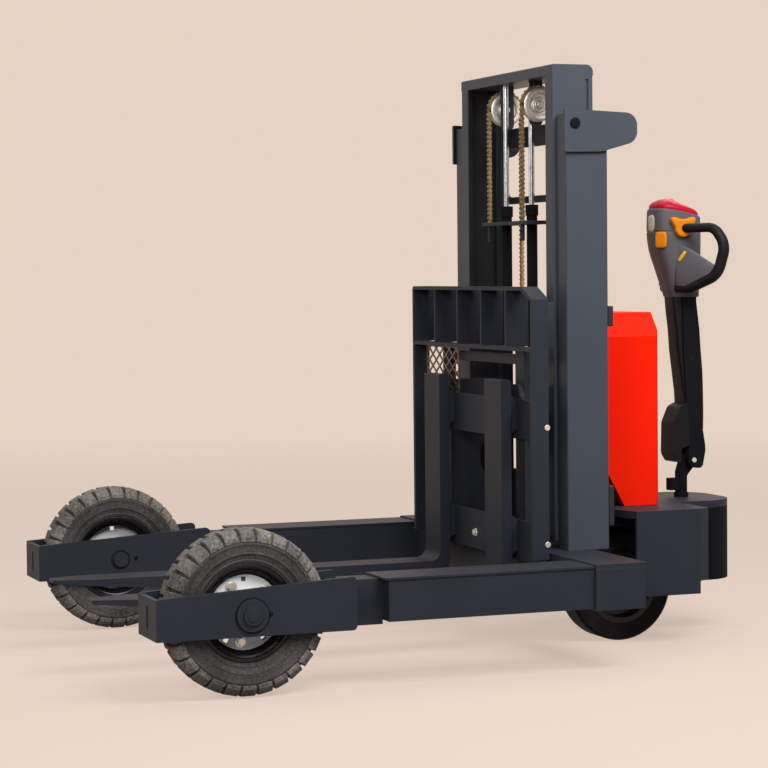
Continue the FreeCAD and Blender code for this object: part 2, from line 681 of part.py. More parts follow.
def side_cover():
    """Bent side plate: a deep side, a skewed corner and the wall that closes it to the nose."""
    wall = [
        (behind(COVER_FRONT), COVER_Y, 0), (behind(COVER_REAR), COVER_Y, 0),
        (behind(NOSE_FRONT), COVER_Y - CORNER_SKEW, 0), (behind(NOSE_FRONT), NOSE_HALF_W - NOSE_WALL, 0),
        (behind(NOSE_FRONT - COVER_T), NOSE_HALF_W - NOSE_WALL, 0),
        (behind(NOSE_FRONT - COVER_T), COVER_Y - CORNER_SKEW - COVER_T, 0),
        (behind(COVER_REAR - 4), COVER_Y - COVER_T, 0), (behind(COVER_FRONT), COVER_Y - COVER_T, 0),
    ]
    skirt = plate_y([(behind(COVER_FRONT), CORNER_LOW + 1, 0), (behind(COVER_FRONT), CORNER_LOW, 0),
                     (behind(COVER_FRONT + 30), COVER_LOW, 0), (behind(COVER_REAR), COVER_LOW, 0),
                     (behind(COVER_REAR), CORNER_LOW + 1, 0)], COVER_Y - COVER_T, COVER_Y)
    return fused([plate_z(wall, CORNER_LOW, DECK_LOW), skirt])


def nose_outline(wall):
    half = NOSE_HALF_W - wall
    front = behind(NOSE_FRONT - wall)
    rear = behind(NOSE_REAR - wall)
    return [(front, half, 0), (rear, half, NOSE_R - wall), (rear, -half, NOSE_R - wall), (front, -half, 0)]


def nose():
    """Rounded shell under the rear of the deck."""
    shell = plate_z(nose_outline(0), NOSE_LOW, DECK_LOW)
    return shell.cut(plate_z(nose_outline(NOSE_WALL), NOSE_LOW + NOSE_WALL, DECK_LOW + 1))


def spine():
    """Upright plate that ties the base beam to the underside of the deck."""
    foot = behind(OUTER_REAR + CROSSBAR_T + 4)
    corners = [
        (behind(BEAM_REAR), BEAM_LOW + 4, 0), (behind(BEAM_REAR), BEAM_TOP - 14, 0),
        (foot, BEAM_TOP - 14, 0), (foot, DECK_LOW, 0),
        (behind(COVER_REAR), DECK_LOW, 0), (behind(COVER_REAR), 200, 30),
        (behind(BEAM_REAR + 34), BEAM_LOW + 4, 30),
    ]
    return plate_y(corners, -45, -33)


def battery_cover():
    """Hollow hood with a hipped top and a chin that slopes back to the deck."""
    def hood(grow):
        front = behind(BATTERY_COVER_FRONT) + grow
        rear = behind(BATTERY_COVER_REAR) - grow
        half = BATTERY_COVER_HALF_W + grow
        top = BATTERY_COVER_TOP + grow
        eaves = BATTERY_COVER_EAVES + grow * 0.4
        body = plate_z(rectangle(rear, front, -half, half, BATTERY_COVER_CORNER + grow), DECK_TOP + SEAT, top)
        end = plate_x([(-half - 1, 0, 0), (half + 1, 0, 0), (half + 1, eaves, 0), (half - 55, top, 0),
                       (-half + 55, top, 0), (-half - 1, eaves, 0)], rear - 1, front + 1)
        side = plate_y([(front + 1, CHIN_TOP, 0), (front + 1, eaves, 0), (front - 30, top, 0), (rear - 1, top, 0),
                        (rear - 1, 0, 0), (front - CHIN_DEPTH, 0, 0), (front - CHIN_DEPTH, DECK_TOP, 0)],
                       -half - 1, half + 1)
        return body.common(end).common(side)
    inside = hood(-BATTERY_COVER_WALL)
    floor_gap = box(behind(BATTERY_COVER_REAR - BATTERY_COVER_CORNER), behind(BATTERY_COVER_FRONT + CHIN_DEPTH + 16),
                    -BATTERY_COVER_HALF_W + BATTERY_COVER_CORNER, BATTERY_COVER_HALF_W - BATTERY_COVER_CORNER,
                    DECK_TOP - 1, DECK_TOP + 8)
    return hood(0).cut(inside).cut(floor_gap)


def battery():
    return plate_z(rectangle(behind(BATTERY_COVER_REAR - 22), behind(BATTERY_COVER_FRONT + CHIN_DEPTH + 20),
                             -BATTERY_COVER_HALF_W + 25, BATTERY_COVER_HALF_W - 25, 4), DECK_TOP, BATTERY_TOP)


def drive_unit():
    """Steered turntable with the gearbox beside the wheel and the motor across it."""
    x = behind(DRIVE_BEHIND)
    half = DRIVE_W / 2.0
    table = cylinder((x, DRIVE_Y, DRIVE_R * 2 + 18), (0, 0, 1), DRIVE_TABLE_R,
                     DECK_LOW - SEAT - DRIVE_R * 2 - 18)
    gear = plate_y(
        [(x - 62, DRIVE_R * 2 + 20, 0), (x - 62, DRIVE_R - 40, 50), (x, DRIVE_R - 68, 20), (x + 62, DRIVE_R - 40, 50),
         (x + 62, DRIVE_R * 2 + 20, 0)], DRIVE_Y - half - 6, DRIVE_Y - half - 34)
    motor = cylinder((x, DRIVE_Y - half - 30, DRIVE_R), (0, -1, 0), 52, 62)
    stub = cylinder((x, DRIVE_Y - half - 10, DRIVE_R), (0, 1, 0), 18, half + 30)
    return fused([table, gear, motor, stub])


def drive_hub():
    half = DRIVE_W / 2.0
    bore = 18 + RUNNING
    outer = DRIVE_RIM_R - RUNNING
    profile = [
        (-half, DRIVE_RIM_R - 14, 0), (-half, outer, 0), (half, outer, 0), (half, DRIVE_RIM_R - 14, 0),
        (14, DRIVE_RIM_R - 20, 0), (14, 40, 0), (24, 36, 0), (24, bore, 0), (-34, bore, 0),
        (-34, DRIVE_RIM_R - 20, 0),
    ]
    return turned(profile, (behind(DRIVE_BEHIND), DRIVE_Y, DRIVE_R))


def drive_tyre():
    half = DRIVE_W / 2.0
    profile = [(-half, DRIVE_RIM_R, 0), (half, DRIVE_RIM_R, 0), (half, DRIVE_R - 8, 0), (half - 8, DRIVE_R, 0),
               (8 - half, DRIVE_R, 0), (-half, DRIVE_R - 8, 0)]
    return turned(profile, (behind(DRIVE_BEHIND), DRIVE_Y, DRIVE_R))


def caster_mount():
    return cylinder((behind(CASTER_BEHIND), -CASTER_Y, CASTER_R * 2 + 44), (0, 0, 1), 34,
                    DECK_LOW - CASTER_R * 2 - 44)


def caster_fork():
    x = behind(CASTER_BEHIND)
    crown_low = CASTER_R * 2 + 10
    crown_high = CASTER_R * 2 + 44 - SEAT
    crown = cylinder((x, -CASTER_Y, crown_low + 12), (0, 0, 1), 40, crown_high - crown_low - 12)
    bridge = box(x - 52, x + 34, -CASTER_Y - CASTER_W / 2 - 14, -CASTER_Y + CASTER_W / 2 + 14, crown_low,
                 crown_low + 13)
    axle_x = x - CASTER_TRAIL
    cheek = [(x - 52, crown_low + 6, 0), (axle_x - 20, CASTER_R - 16, 16), (axle_x + 20, CASTER_R - 16, 16),
             (x + 34, crown_low + 6, 0)]
    near = plate_y(cheek, -CASTER_Y + CASTER_W / 2 + 6, -CASTER_Y + CASTER_W / 2 + 14)
    far = plate_y(cheek, -CASTER_Y - CASTER_W / 2 - 6, -CASTER_Y - CASTER_W / 2 - 14)
    pin = cylinder((axle_x, -CASTER_Y - CASTER_W / 2 - 12, CASTER_R), (0, 1, 0), 9, CASTER_W + 24)
    return fused([crown, bridge, near, far, pin])


def caster_wheel():
    half = CASTER_W / 2.0
    profile = [(-half, 9 + RUNNING, 0), (half, 9 + RUNNING, 0), (half, CASTER_R, 0), (-half, CASTER_R, 0)]
    return turned(profile, (behind(CASTER_BEHIND + CASTER_TRAIL), -CASTER_Y, CASTER_R))


def tiller_base():
    """Column that turns on the deck, with the eye for the tilt pin and a small switch box."""
    x = behind(TILLER_BEHIND)
    pin_x = behind(TILT_BEHIND)
    front = x + COLUMN_DEPTH / 2
    rear = x - COLUMN_DEPTH / 2
    half = COLUMN_W / 2
    foot = cylinder((x, 0, DECK_TOP + SEAT), (0, 0, 1), half + 4, 12)
    column = plate_y(
        [(front, DECK_TOP + 8, 0), (front, TILT_Z - 34, 8), (pin_x + 19, TILT_Z + 4, 8),
         (pin_x + 12, TILT_Z + 19, 8), (pin_x - 12, TILT_Z + 19, 10), (pin_x - 17, TILT_Z - 14, 10),
         (rear, TILT_Z - 46, 8), (rear, DECK_TOP + 8, 0)],
        -half, half)
    switch = box(front - 1, front + 30, -14, 14, DECK_TOP + 20, DECK_TOP + 55)
    hole = cylinder((pin_x, -half - 3, TILT_Z), (0, 1, 0), 8 + RUNNING, COLUMN_W + 6)
    return fused([foot, column, switch]).cut(hole)


def tiller_arm():
    """Slightly bowed square tube that forks into two cheeks round the tilt pin."""
    x = behind(TILT_BEHIND)
    top = HEAD_LOW + HEAD_SOCKET
    front = x + 32
    tube = plate_y([(x + 13, 524, 0), (x + 13, 567, 60), (x + 22, 654, 200), (x + 30, 800, 400), (front, top, 0),
                    (front - ARM_DEPTH, top, 0), (x - 12, 775, 400), (x - 20, 653, 200), (x - 31, 566, 60),
                    (x - 38, 524, 0)], -ARM_HALF_W, ARM_HALF_W)
    cheek = plate_y([(x + 16, TILT_Z - 8, 12), (x + 13, 525, 0), (x - 38, 525, 0), (x - 39, 507, 12),
                     (x - 29, TILT_Z - 25, 14), (x + 2, TILT_Z - 22, 14)], ARM_HALF_W, ARM_HALF_W - ARM_CHEEK_T)
    pin = cylinder((x, -ARM_HALF_W - 4, TILT_Z), (0, 1, 0), 8, 2 * ARM_HALF_W + 8)
    return fused([tube, cheek, mirrored(cheek), pin])


def tiller_boot():
    """Moulded cover in front of the arm's foot, hollow round the column's eye."""
    x = behind(TILT_BEHIND)
    side = [(x + 21.1 + SEAT, 645, 0), (x + 44, 634, 20), (x + 64, 588, 30), (x + 66, 498, 24), (x + 52, 474, 12),
            (x + 39, 474, 0), (x + 39, 514, 0), (x + 13 + SEAT, 524, 0), (x + 13.1 + SEAT, 567, 0)]
    return plate_y(side, -40, 40)


def rounded_section(z, centre, depth, width, radius):
    """Level wire with four straight sides and four round corners."""
    wire = outline(rectangle(centre - depth, centre + depth, -width, width, radius))
    wire.translate(Vec(0, 0, z))
    return wire


def stacked(sections):
    """Solid through level sections: height, middle, half depth, half width, corner radius."""
    wires = []
    for section in sections:
        wires.append(rounded_section(*section))
    return Part.makeLoft(wires, True, True)


def tiller_head():
    """Moulded head that swells upward and leans forward from the arm."""
    x = behind(TILT_BEHIND)
    body = stacked((
        (HEAD_LOW, x + 18, 47, 42, 16), (HEAD_LOW + 51, x + 26, 54, 50, 26), (HEAD_LOW + 94, x + 32, 62, 56, 34),
        (HEAD_LOW + 138, x + 39, 69, 60, 42), (HEAD_LOW + 193, x + 42, 73, 61, 46), (HEAD_TOP, x + 42, 71, 59, 46),
    ))
    front = x + 32
    socket = box(front + SEAT, front - ARM_DEPTH - SEAT, -ARM_HALF_W - SEAT, ARM_HALF_W + SEAT, HEAD_LOW - 10,
                 HEAD_LOW + HEAD_SOCKET)
    return body.cut(socket)


def tiller_cap():
    """Domed lid on the head."""
    x = behind(TILT_BEHIND) + 42
    return stacked(((HEAD_TOP, x, 66, 55, 44), (HEAD_TOP + CAP_H * 0.5, x, 64, 53, 43),
                    (HEAD_TOP + CAP_H * 0.85, x, 52, 42, 38), (HEAD_TOP + CAP_H, x, 30, 24, 22)))


def handle_loop():
    """Loop of tube on the left of the head, in an upright plane that turns out and back."""
    turn = Vec(-0.594, 0.804, 0)
    foot = Vec(behind(TILT_BEHIND) + 54, 55, 0)
    # distance out from the head, height above the head's foot, bend radius
    table = ((-14.0, 198.0, 0), (112.0, 200.0, 26), (147.0, 150.0, 30), (122.0, 64.0, 30), (30.0, 27.0, 20),
             (-14.0, 28.0, 0))
    points = []
    for out, height, radius in table:
        points.append(foot + turn * out + Vec(0, 0, HEAD_LOW + height))
    edges = []
    here = points[0]
    for i in range(1, len(points) - 1):
        before = (points[i - 1] - points[i]).normalize()
        after = (points[i + 1] - points[i]).normalize()
        half = before.getAngle(after) / 2.0
        radius = table[i][2]
        reach = radius / math.tan(half)
        start = points[i] + before * reach
        end = points[i] + after * reach
        middle = points[i] + (before + after).normalize() * (radius / math.sin(half) - radius)
        edges.append(Part.LineSegment(here, start).toShape())
        edges.append(Part.Arc(start, middle, end).toShape())
        here = end
    edges.append(Part.LineSegment(here, points[-1]).toShape())
    circle = Part.Wire([Part.Circle(points[0], (points[1] - points[0]).normalize(), HANDLE_R).toShape()])
    return Part.Wire(edges).makePipeShell([circle], True, False)


def main():
    os.makedirs("parts", exist_ok=True)
    save_pair("leg", leg())
    save_pair("front_axle", front_axle())
    save_pair("front_tyre", front_tyre())
    save_pair("front_rim", front_rim())
    save("base_beam", base_beam())
    save_pair("outer_upright", outer_upright())
    save("mast_brace", mast_brace())
    save("mast_crossbars", mast_crossbars())
    save_both("lift_cylinders", lift_cylinder())
    save("chain_anchor", chain_anchor())
    save_both("chain_fixed_runs", chain_run(SHEAVE_BEHIND - SHEAVE_PITCH_R, ANCHOR_Z + 10, SHEAVE_Z))
    save_both("chain_wraps", chain_wrap())
    save_both("chain_carriage_runs", chain_run(SHEAVE_BEHIND + SHEAVE_PITCH_R, CHAIN_FOOT, SHEAVE_Z))
    save_both("chain_sheaves", sheave())
    save_pair("inner_upright", inner_upright())
    save("inner_mast_top", inner_top())
    save("inner_mast_ties", inner_ties())
    save("lift_rods", lift_rods())
    save_both("mast_rollers", mast_rollers())
    save("backrest", backrest())
    save("carriage_frame", carriage_frame())
    save("carriage_mesh", carriage_mesh())
    save_both("carriage_rollers", carriage_rollers())
    save_pair("fork", fork())
    save("deck", deck())
    save_pair("drive_cover", side_cover())
    save("rear_nose", nose())
    save("chassis_spine", spine())
    save("battery_cover", battery_cover())
    save("battery", battery())
    save("drive_unit", drive_unit())
    save("drive_hub", drive_hub())
    save("drive_tyre", drive_tyre())
    save("caster_mount", caster_mount())
    save("caster_fork", caster_fork())
    save("caster_wheel", caster_wheel())
    save("tiller_base", tiller_base())
    save("tiller_arm", tiller_arm())
    save("tiller_boot", tiller_boot())
    save("tiller_head", tiller_head())
    save("tiller_cap", tiller_cap())
    save_both("handle_loops", handle_loop().cut(tiller_head()))


main()
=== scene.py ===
"""Finish and fittings of the electric pallet stacker, built round its fixed frame.

Shapes are worked out in millimetres and turned to metres when a piece is made. +X points to
the fork tips, +Y to the left side, +Z up.
"""
import bmesh
import bpy
import math
from mathutils import Matrix, Vector


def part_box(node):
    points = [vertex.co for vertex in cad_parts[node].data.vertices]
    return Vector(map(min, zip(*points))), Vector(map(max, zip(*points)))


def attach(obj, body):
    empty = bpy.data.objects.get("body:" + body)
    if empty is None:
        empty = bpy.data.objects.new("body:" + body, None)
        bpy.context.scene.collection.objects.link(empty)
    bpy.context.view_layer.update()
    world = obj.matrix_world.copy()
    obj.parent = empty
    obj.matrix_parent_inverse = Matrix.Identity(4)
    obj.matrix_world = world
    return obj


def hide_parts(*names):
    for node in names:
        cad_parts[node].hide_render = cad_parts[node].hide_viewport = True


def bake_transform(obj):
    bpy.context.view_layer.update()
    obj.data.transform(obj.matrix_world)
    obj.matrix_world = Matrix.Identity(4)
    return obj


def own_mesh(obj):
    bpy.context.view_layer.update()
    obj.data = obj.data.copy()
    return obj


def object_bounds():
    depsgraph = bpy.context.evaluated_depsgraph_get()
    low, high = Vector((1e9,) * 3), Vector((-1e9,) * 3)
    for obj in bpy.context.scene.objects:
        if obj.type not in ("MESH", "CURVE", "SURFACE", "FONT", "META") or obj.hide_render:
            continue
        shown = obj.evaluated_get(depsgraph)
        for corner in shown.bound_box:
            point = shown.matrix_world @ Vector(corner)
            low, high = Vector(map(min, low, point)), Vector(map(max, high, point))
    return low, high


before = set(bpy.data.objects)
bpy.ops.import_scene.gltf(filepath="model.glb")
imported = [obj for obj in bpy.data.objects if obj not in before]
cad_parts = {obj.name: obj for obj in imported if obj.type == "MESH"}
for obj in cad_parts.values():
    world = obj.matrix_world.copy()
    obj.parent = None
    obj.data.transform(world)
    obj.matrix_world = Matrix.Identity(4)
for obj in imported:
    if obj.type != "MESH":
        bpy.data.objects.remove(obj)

cad_low, cad_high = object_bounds()

MM = 0.001
X, Y, Z = Vector((1, 0, 0)), Vector((0, 1, 0)), Vector((0, 0, 1))


def box_of(node):
    """Lowest corner, highest corner and centre of a node of the frame, in millimetres."""
    low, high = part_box(node)
    return low / MM, high / MM, (low + high) / 2 / MM


# Finishes

# Sizes of the patterns, in millimetres
TONE_DRIFT = 240
DUST_PATCH = 18
ORANGE_PEEL = 3.5
CLAY_STREAK = 150
CLAY_GRAIN = 7
TREAD_SCUFF = 30
TOOL_MARK = 1.4
DYE_DRIFT = 40
SPARK_GRAIN = 1.6

# near black, painted on the inner sides of the mast as shade
INNER_SHADE_COLOUR = "070708"

# A colour mix has several sockets of one name, so they go by number
SHARE, FIRST, SECOND, MIXED = 0, 6, 7, 2


def linear(colour):
    """sRGB hex colour, such as "3a3d44", as linear RGBA."""
    shares = [int(colour[i:i + 2], 16) / 255 for i in (0, 2, 4)]
    return (*[share / 12.92 if share <= 0.04045 else ((share + 0.055) / 1.055) ** 2.4
              for share in shares], 1.0)


def across(size):
    """Texture scale at which a pattern's features are this many millimetres wide."""
    return 1 / (size * MM)


def add(tree, kind, inputs, **settings):
    """Adds a node and sets its properties. Each input gets a value, or a link from a socket or
    from a node's first output."""
    node = tree.nodes.new(kind)
    for name, value in settings.items():
        setattr(node, name, value)
    for name, value in inputs.items():
        if isinstance(value, bpy.types.Node):
            value = value.outputs[0]
        if isinstance(value, bpy.types.NodeSocket):
            tree.links.new(value, node.inputs[name])
        else:
            node.inputs[name].default_value = value
    return node


def start(name):
    """An empty material with its node tree and the coordinates that ride with the piece."""
    material = bpy.data.materials.new(name)
    material.use_nodes = True
    tree = material.node_tree
    tree.nodes.clear()
    place = add(tree, "ShaderNodeTexCoord", {}).outputs["Object"]
    return material, tree, place


def upward(tree):
    """Share that rises from 0 to 1 as the surface turns to face up, for settled dust."""
    normal = add(tree, "ShaderNodeNewGeometry", {}).outputs["Normal"]
    height = add(tree, "ShaderNodeSeparateXYZ", {"Vector": normal}).outputs["Z"]
    return add(tree, "ShaderNodeMapRange", {"Value": height, "From Min": 0.2, "From Max": 1.0})


def inward(tree, place):
    """Share that is 1 where the surface looks to the machine's middle plane, for painted shade."""
    normal = add(tree, "ShaderNodeNewGeometry", {}).outputs["Normal"]
    turned = add(tree, "ShaderNodeSeparateXYZ", {"Vector": normal}).outputs["Y"]
    aside = add(tree, "ShaderNodeSeparateXYZ", {"Vector": place}).outputs["Y"]
    product = add(tree, "ShaderNodeMath", {0: turned, 1: aside}, operation="MULTIPLY")
    return add(tree, "ShaderNodeMapRange", {"Value": product, "From Min": -0.1, "From Max": -0.25})


def painted_steel(name, colour, worn, roughness, peel, dust="8b857d", inner_shade=0.0, shine=0.14):
    """Powder coat over steel: the film's orange peel blurs the lamps into soft sheens, and a
    trace of grey dust dulls what faces up. The inner sides of a mast may be darkened towards
    black as painted shade."""
    material, tree, place = start(name)
    drift = add(tree, "ShaderNodeTexNoise", {"Vector": place, "Scale": across(TONE_DRIFT), "Detail": 3.0})
    coat = add(tree, "ShaderNodeMix", {SHARE: drift, FIRST: linear(colour), SECOND: linear(worn)},
               data_type="RGBA")
    grit = add(tree, "ShaderNodeTexNoise", {
        "Vector": place, "Scale": across(DUST_PATCH), "Detail": 6.0, "Roughness": 0.7})
    patch = add(tree, "ShaderNodeMapRange", {
        "Value": grit, "From Min": 0.5, "From Max": 0.85, "To Max": 0.28})
    settled = add(tree, "ShaderNodeMath", {0: upward(tree), 1: patch}, operation="MULTIPLY")
    coat = add(tree, "ShaderNodeMix", {SHARE: settled, FIRST: coat.outputs[MIXED], SECOND: linear(dust)},
               data_type="RGBA")
    # painted shade: the inner sides of a mast are darkened towards near black
    if inner_shade:
        film = add(tree, "ShaderNodeMath", {0: inward(tree, place), 1: inner_shade}, operation="MULTIPLY")
        coat = add(tree, "ShaderNodeMix", {SHARE: film, FIRST: coat.outputs[MIXED], SECOND: linear(INNER_SHADE_COLOUR)},
                   data_type="RGBA")
    rough = add(tree, "ShaderNodeMapRange", {
        "Value": grit, "To Min": roughness - 0.06, "To Max": roughness + 0.08})
    ripple = add(tree, "ShaderNodeTexNoise", {"Vector": place, "Scale": across(ORANGE_PEEL), "Detail": 2.0})
    rounded = add(tree, "ShaderNodeBevel", {"Radius": 1.6 * MM}, samples=4)
    bump = add(tree, "ShaderNodeBump", {
        "Height": ripple, "Distance": peel * MM, "Strength": 0.35, "Normal": rounded})
    surface = add(tree, "ShaderNodeBsdfPrincipled", {
        "Base Color": coat.outputs[MIXED], "Roughness": rough, "IOR": 1.5, "Specular IOR Level": shine,
        "Normal": bump})
    add(tree, "ShaderNodeOutputMaterial", {"Surface": surface})
    return material


def tyre_rubber(name, colour, clay):
    """Moulded natural rubber under a film of dried clay: matt and streaky, with the dark rubber
    showing where the film is thin."""
    material, tree, place = start(name)
    streaks = add(tree, "ShaderNodeTexNoise", {
        "Vector": place, "Scale": across(CLAY_STREAK), "Detail": 5.0, "Roughness": 0.55})
    grains = add(tree, "ShaderNodeTexNoise", {
        "Vector": place, "Scale": across(CLAY_GRAIN), "Detail": 5.0, "Roughness": 0.6})
    dusty = add(tree, "ShaderNodeMath", {0: streaks, 1: grains}, operation="MULTIPLY")
    share = add(tree, "ShaderNodeMapRange", {"Value": dusty, "From Min": 0.12, "From Max": 0.42})
    shade = add(tree, "ShaderNodeMix", {SHARE: share, FIRST: linear(colour), SECOND: linear(clay)},
                data_type="RGBA")
    bump = add(tree, "ShaderNodeBump", {"Height": grains, "Distance": 0.9 * MM, "Strength": 0.5})
    surface = add(tree, "ShaderNodeBsdfPrincipled", {
        "Base Color": shade.outputs[MIXED], "Roughness": 0.82, "IOR": 1.52, "Specular IOR Level": 0.25,
        "Normal": bump})
    add(tree, "ShaderNodeOutputMaterial", {"Surface": surface})
    return material


def solid_rubber(name, colour, scuff):
    """Cast polyurethane or rubber tread: smooth, matt black, rubbed grey where it rolls."""
    material, tree, place = start(name)
    rubbed = add(tree, "ShaderNodeTexNoise", {
        "Vector": place, "Scale": across(TREAD_SCUFF), "Detail": 5.0, "Roughness": 0.7})
    share = add(tree, "ShaderNodeMapRange", {
        "Value": rubbed, "From Min": 0.45, "From Max": 0.75, "To Max": 0.6})
    shade = add(tree, "ShaderNodeMix", {SHARE: share, FIRST: linear(colour), SECOND: linear(scuff)},
                data_type="RGBA")
    bump = add(tree, "ShaderNodeBump", {"Height": rubbed, "Distance": 0.4 * MM, "Strength": 0.4})
    surface = add(tree, "ShaderNodeBsdfPrincipled", {
        "Base Color": shade.outputs[MIXED], "Roughness": 0.7, "IOR": 1.52, "Specular IOR Level": 0.12,
        "Normal": bump})
    add(tree, "ShaderNodeOutputMaterial", {"Surface": surface})
    return material


def bare_steel(name, colour, stain, roughness, grain=9.0):
    """Plated or turned steel: a mirror-like metal that fine tool marks blur, with darker oil
    in patches."""
    material, tree, place = start(name)
    oil = add(tree, "ShaderNodeTexNoise", {
        "Vector": place, "Scale": across(grain), "Detail": 5.0, "Roughness": 0.6})
    share = add(tree, "ShaderNodeMapRange", {"Value": oil, "From Min": 0.42, "From Max": 0.72})
    shade = add(tree, "ShaderNodeMix", {SHARE: share, FIRST: linear(colour), SECOND: linear(stain)},
                data_type="RGBA")
    rough = add(tree, "ShaderNodeMapRange", {
        "Value": oil, "To Min": roughness - 0.08, "To Max": roughness + 0.14})
    marks = add(tree, "ShaderNodeTexNoise", {"Vector": place, "Scale": across(TOOL_MARK), "Detail": 2.0})
    bump = add(tree, "ShaderNodeBump", {"Height": marks, "Distance": 0.1 * MM, "Strength": 0.3})
    surface = add(tree, "ShaderNodeBsdfPrincipled", {
        "Base Color": shade.outputs[MIXED], "Metallic": 1.0, "Roughness": rough, "Normal": bump})
    add(tree, "ShaderNodeOutputMaterial", {"Surface": surface})
    return material


def moulded_plastic(name, colour, second, roughness):
    """Injection-moulded plastic: one dyed colour, with the mould's fine spark-eroded grain,
    drawn a little coarser than life so that it shows."""
    material, tree, place = start(name)
    drift = add(tree, "ShaderNodeTexNoise", {"Vector": place, "Scale": across(DYE_DRIFT), "Detail": 3.0})
    shade = add(tree, "ShaderNodeMix", {SHARE: drift, FIRST: linear(colour), SECOND: linear(second)},
                data_type="RGBA")
    speck = add(tree, "ShaderNodeTexVoronoi", {"Vector": place, "Scale": across(SPARK_GRAIN)})
    bump = add(tree, "ShaderNodeBump", {"Height": speck, "Distance": 0.12 * MM, "Strength": 0.4})
    rounded = add(tree, "ShaderNodeBevel", {"Radius": 1.2 * MM, "Normal": bump}, samples=4)
    surface = add(tree, "ShaderNodeBsdfPrincipled", {
        "Base Color": shade.outputs[MIXED], "Roughness": roughness, "IOR": 1.5, "Specular IOR Level": 0.15,
        "Normal": rounded})
    add(tree, "ShaderNodeOutputMaterial", {"Surface": surface})
    return material


# name, colour and its second tone, roughness, and for paint how deep its orange peel is
FRAME_COAT = painted_steel("powder_coated_steel_charcoal", "262931", "2e3139", 0.5, 0.25, dust="5f5c59")
# the mast's inner sides get painted shade, darkened towards near black
MAST_COAT = painted_steel("powder_coated_steel_mast", "3d4148", "474c55", 0.37, 0.25, inner_shade=0.85)
DRIVE_COAT = painted_steel("painted_casting_black", "0e0e11", "17181b", 0.62, 0.5, dust="343130",
                           shine=0.06)
RIM_ENAMEL = painted_steel("enamelled_rim_black", "0f0f11", "19191c", 0.25, 0.1, dust="6b645c", shine=0.3)
HUB_PAINT = painted_steel("painted_hub_disc_white", "f2f2f0", "e4e5e6", 0.35, 0.1, dust="b5aa9c")
COVER_ENAMEL = painted_steel("gloss_powder_coated_cover_red", "f91c00", "fc2200", 0.42, 0.2, dust="e4421c",
                             shine=0.12)
BATTERY_COAT = painted_steel("painted_battery_case_grey", "1c1d20", "26282c", 0.55, 0.3)
TREAD_RUBBER = tyre_rubber("moulded_tyre_rubber_dusty_lugs", "332f2d", "9a928a")
SIDEWALL_RUBBER = tyre_rubber("moulded_tyre_rubber_sidewall", "242324", "625d5a")
DRIVE_RUBBER = solid_rubber("cast_polyurethane_tread_black", "111112", "2c2b2a")
CHROME = bare_steel("hard_chromed_rod", "b9bec6", "8f959e", 0.18)
ZINC = bare_steel("zinc_plated_steel", "e2e1dd", "bdb9b0", 0.46)
# grey wire given a pinkish brown as a painted red reflection, with darker oil patches
MESH_STEEL = bare_steel("wire_mesh_painted_red_cast", "8a786c", "4a3d37", 0.5, grain=12.0)
CHAIN_STEEL = bare_steel("oiled_chain_steel_bronze", "b39d78", "5a4c3c", 0.44, grain=5.0)
HEAD_PLASTIC = moulded_plastic("moulded_plastic_charcoal", "5f5d60", "525155", 0.42)
GRIP_PLASTIC = moulded_plastic("moulded_grip_black", "0e0e11", "141417", 0.5)
CAP_PLASTIC = moulded_plastic("gloss_plastic_crimson", "b80c30", "ad0a2b", 0.36)
THROTTLE_PLASTIC = moulded_plastic("moulded_plastic_orange", "e88a12", "dc7c10", 0.38)
BUTTON_PLASTIC = moulded_plastic("moulded_plastic_yellow", "e8b323", "deab20", 0.38)
CREAM_PLASTIC = moulded_plastic("moulded_plastic_cream", "e6ddc8", "dcd2bb", 0.4)

NODE_FINISH = {
    FRAME_COAT: ["leg_left", "leg_right", "base_beam", "chassis_spine", "deck", "drive_cover_left",
                 "drive_cover_right", "carriage_frame", "fork_left", "fork_right", "backrest",
                 "chain_anchor", "inner_mast_ties", "mast_crossbars", "front_axle_left",
                 "front_axle_right"],
    MAST_COAT: ["outer_upright_left", "outer_upright_right", "mast_brace", "inner_upright_left",
                "inner_upright_right", "inner_mast_top"],
    DRIVE_COAT: ["drive_unit", "caster_mount", "caster_fork", "tiller_base", "tiller_arm", "rear_nose",
                 "lift_cylinders"],
    RIM_ENAMEL: ["front_rim_left", "front_rim_right", "drive_hub"],
    COVER_ENAMEL: ["battery_cover"],
    BATTERY_COAT: ["battery"],
    SIDEWALL_RUBBER: ["front_tyre_left", "front_tyre_right"],
    DRIVE_RUBBER: ["drive_tyre", "caster_wheel"],
    CHROME: ["lift_rods"],
    ZINC: ["mast_rollers", "carriage_rollers", "chain_sheaves"],
    MESH_STEEL: ["carriage_mesh"],
    CHAIN_STEEL: ["chain_fixed_runs", "chain_wraps", "chain_carriage_runs"],
    HEAD_PLASTIC: ["tiller_head"],
    GRIP_PLASTIC: ["handle_loops", "tiller_boot"],
    CAP_PLASTIC: ["tiller_cap"],
}

for finish, names in NODE_FINISH.items():
    for name in names:
        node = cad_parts[name]
        if node.material_slots:
            for slot in node.material_slots:
                slot.material = finish
        else:
            node.data.materials.append(finish)


# Shapes, drawn in millimetres

def piece(name, bm, finish, body, replaced=(), crease=38):
    """Turns a bmesh into a piece that rides on a body and may stand for nodes of the frame."""
    bmesh.ops.remove_doubles(bm, verts=bm.verts, dist=0.005)
    bmesh.ops.recalc_face_normals(bm, faces=bm.faces)
    bmesh.ops.scale(bm, vec=(MM, MM, MM), verts=bm.verts)
    mesh = bpy.data.meshes.new(name)
    bm.to_mesh(mesh)
    bm.free()
    mesh.materials.append(finish)
    mesh.shade_smooth()
    mesh.set_sharp_from_angle(angle=math.radians(crease))
    thing = bpy.data.objects.new(name, mesh)
    bpy.context.scene.collection.objects.link(thing)
    if body:
        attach(thing, body)
    if replaced:
        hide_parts(*replaced)
    return thing


def spoke(angle):
    """Unit vector out from a Y axis, at an angle from straight up."""
    return Vector((math.sin(angle), 0, math.cos(angle)))


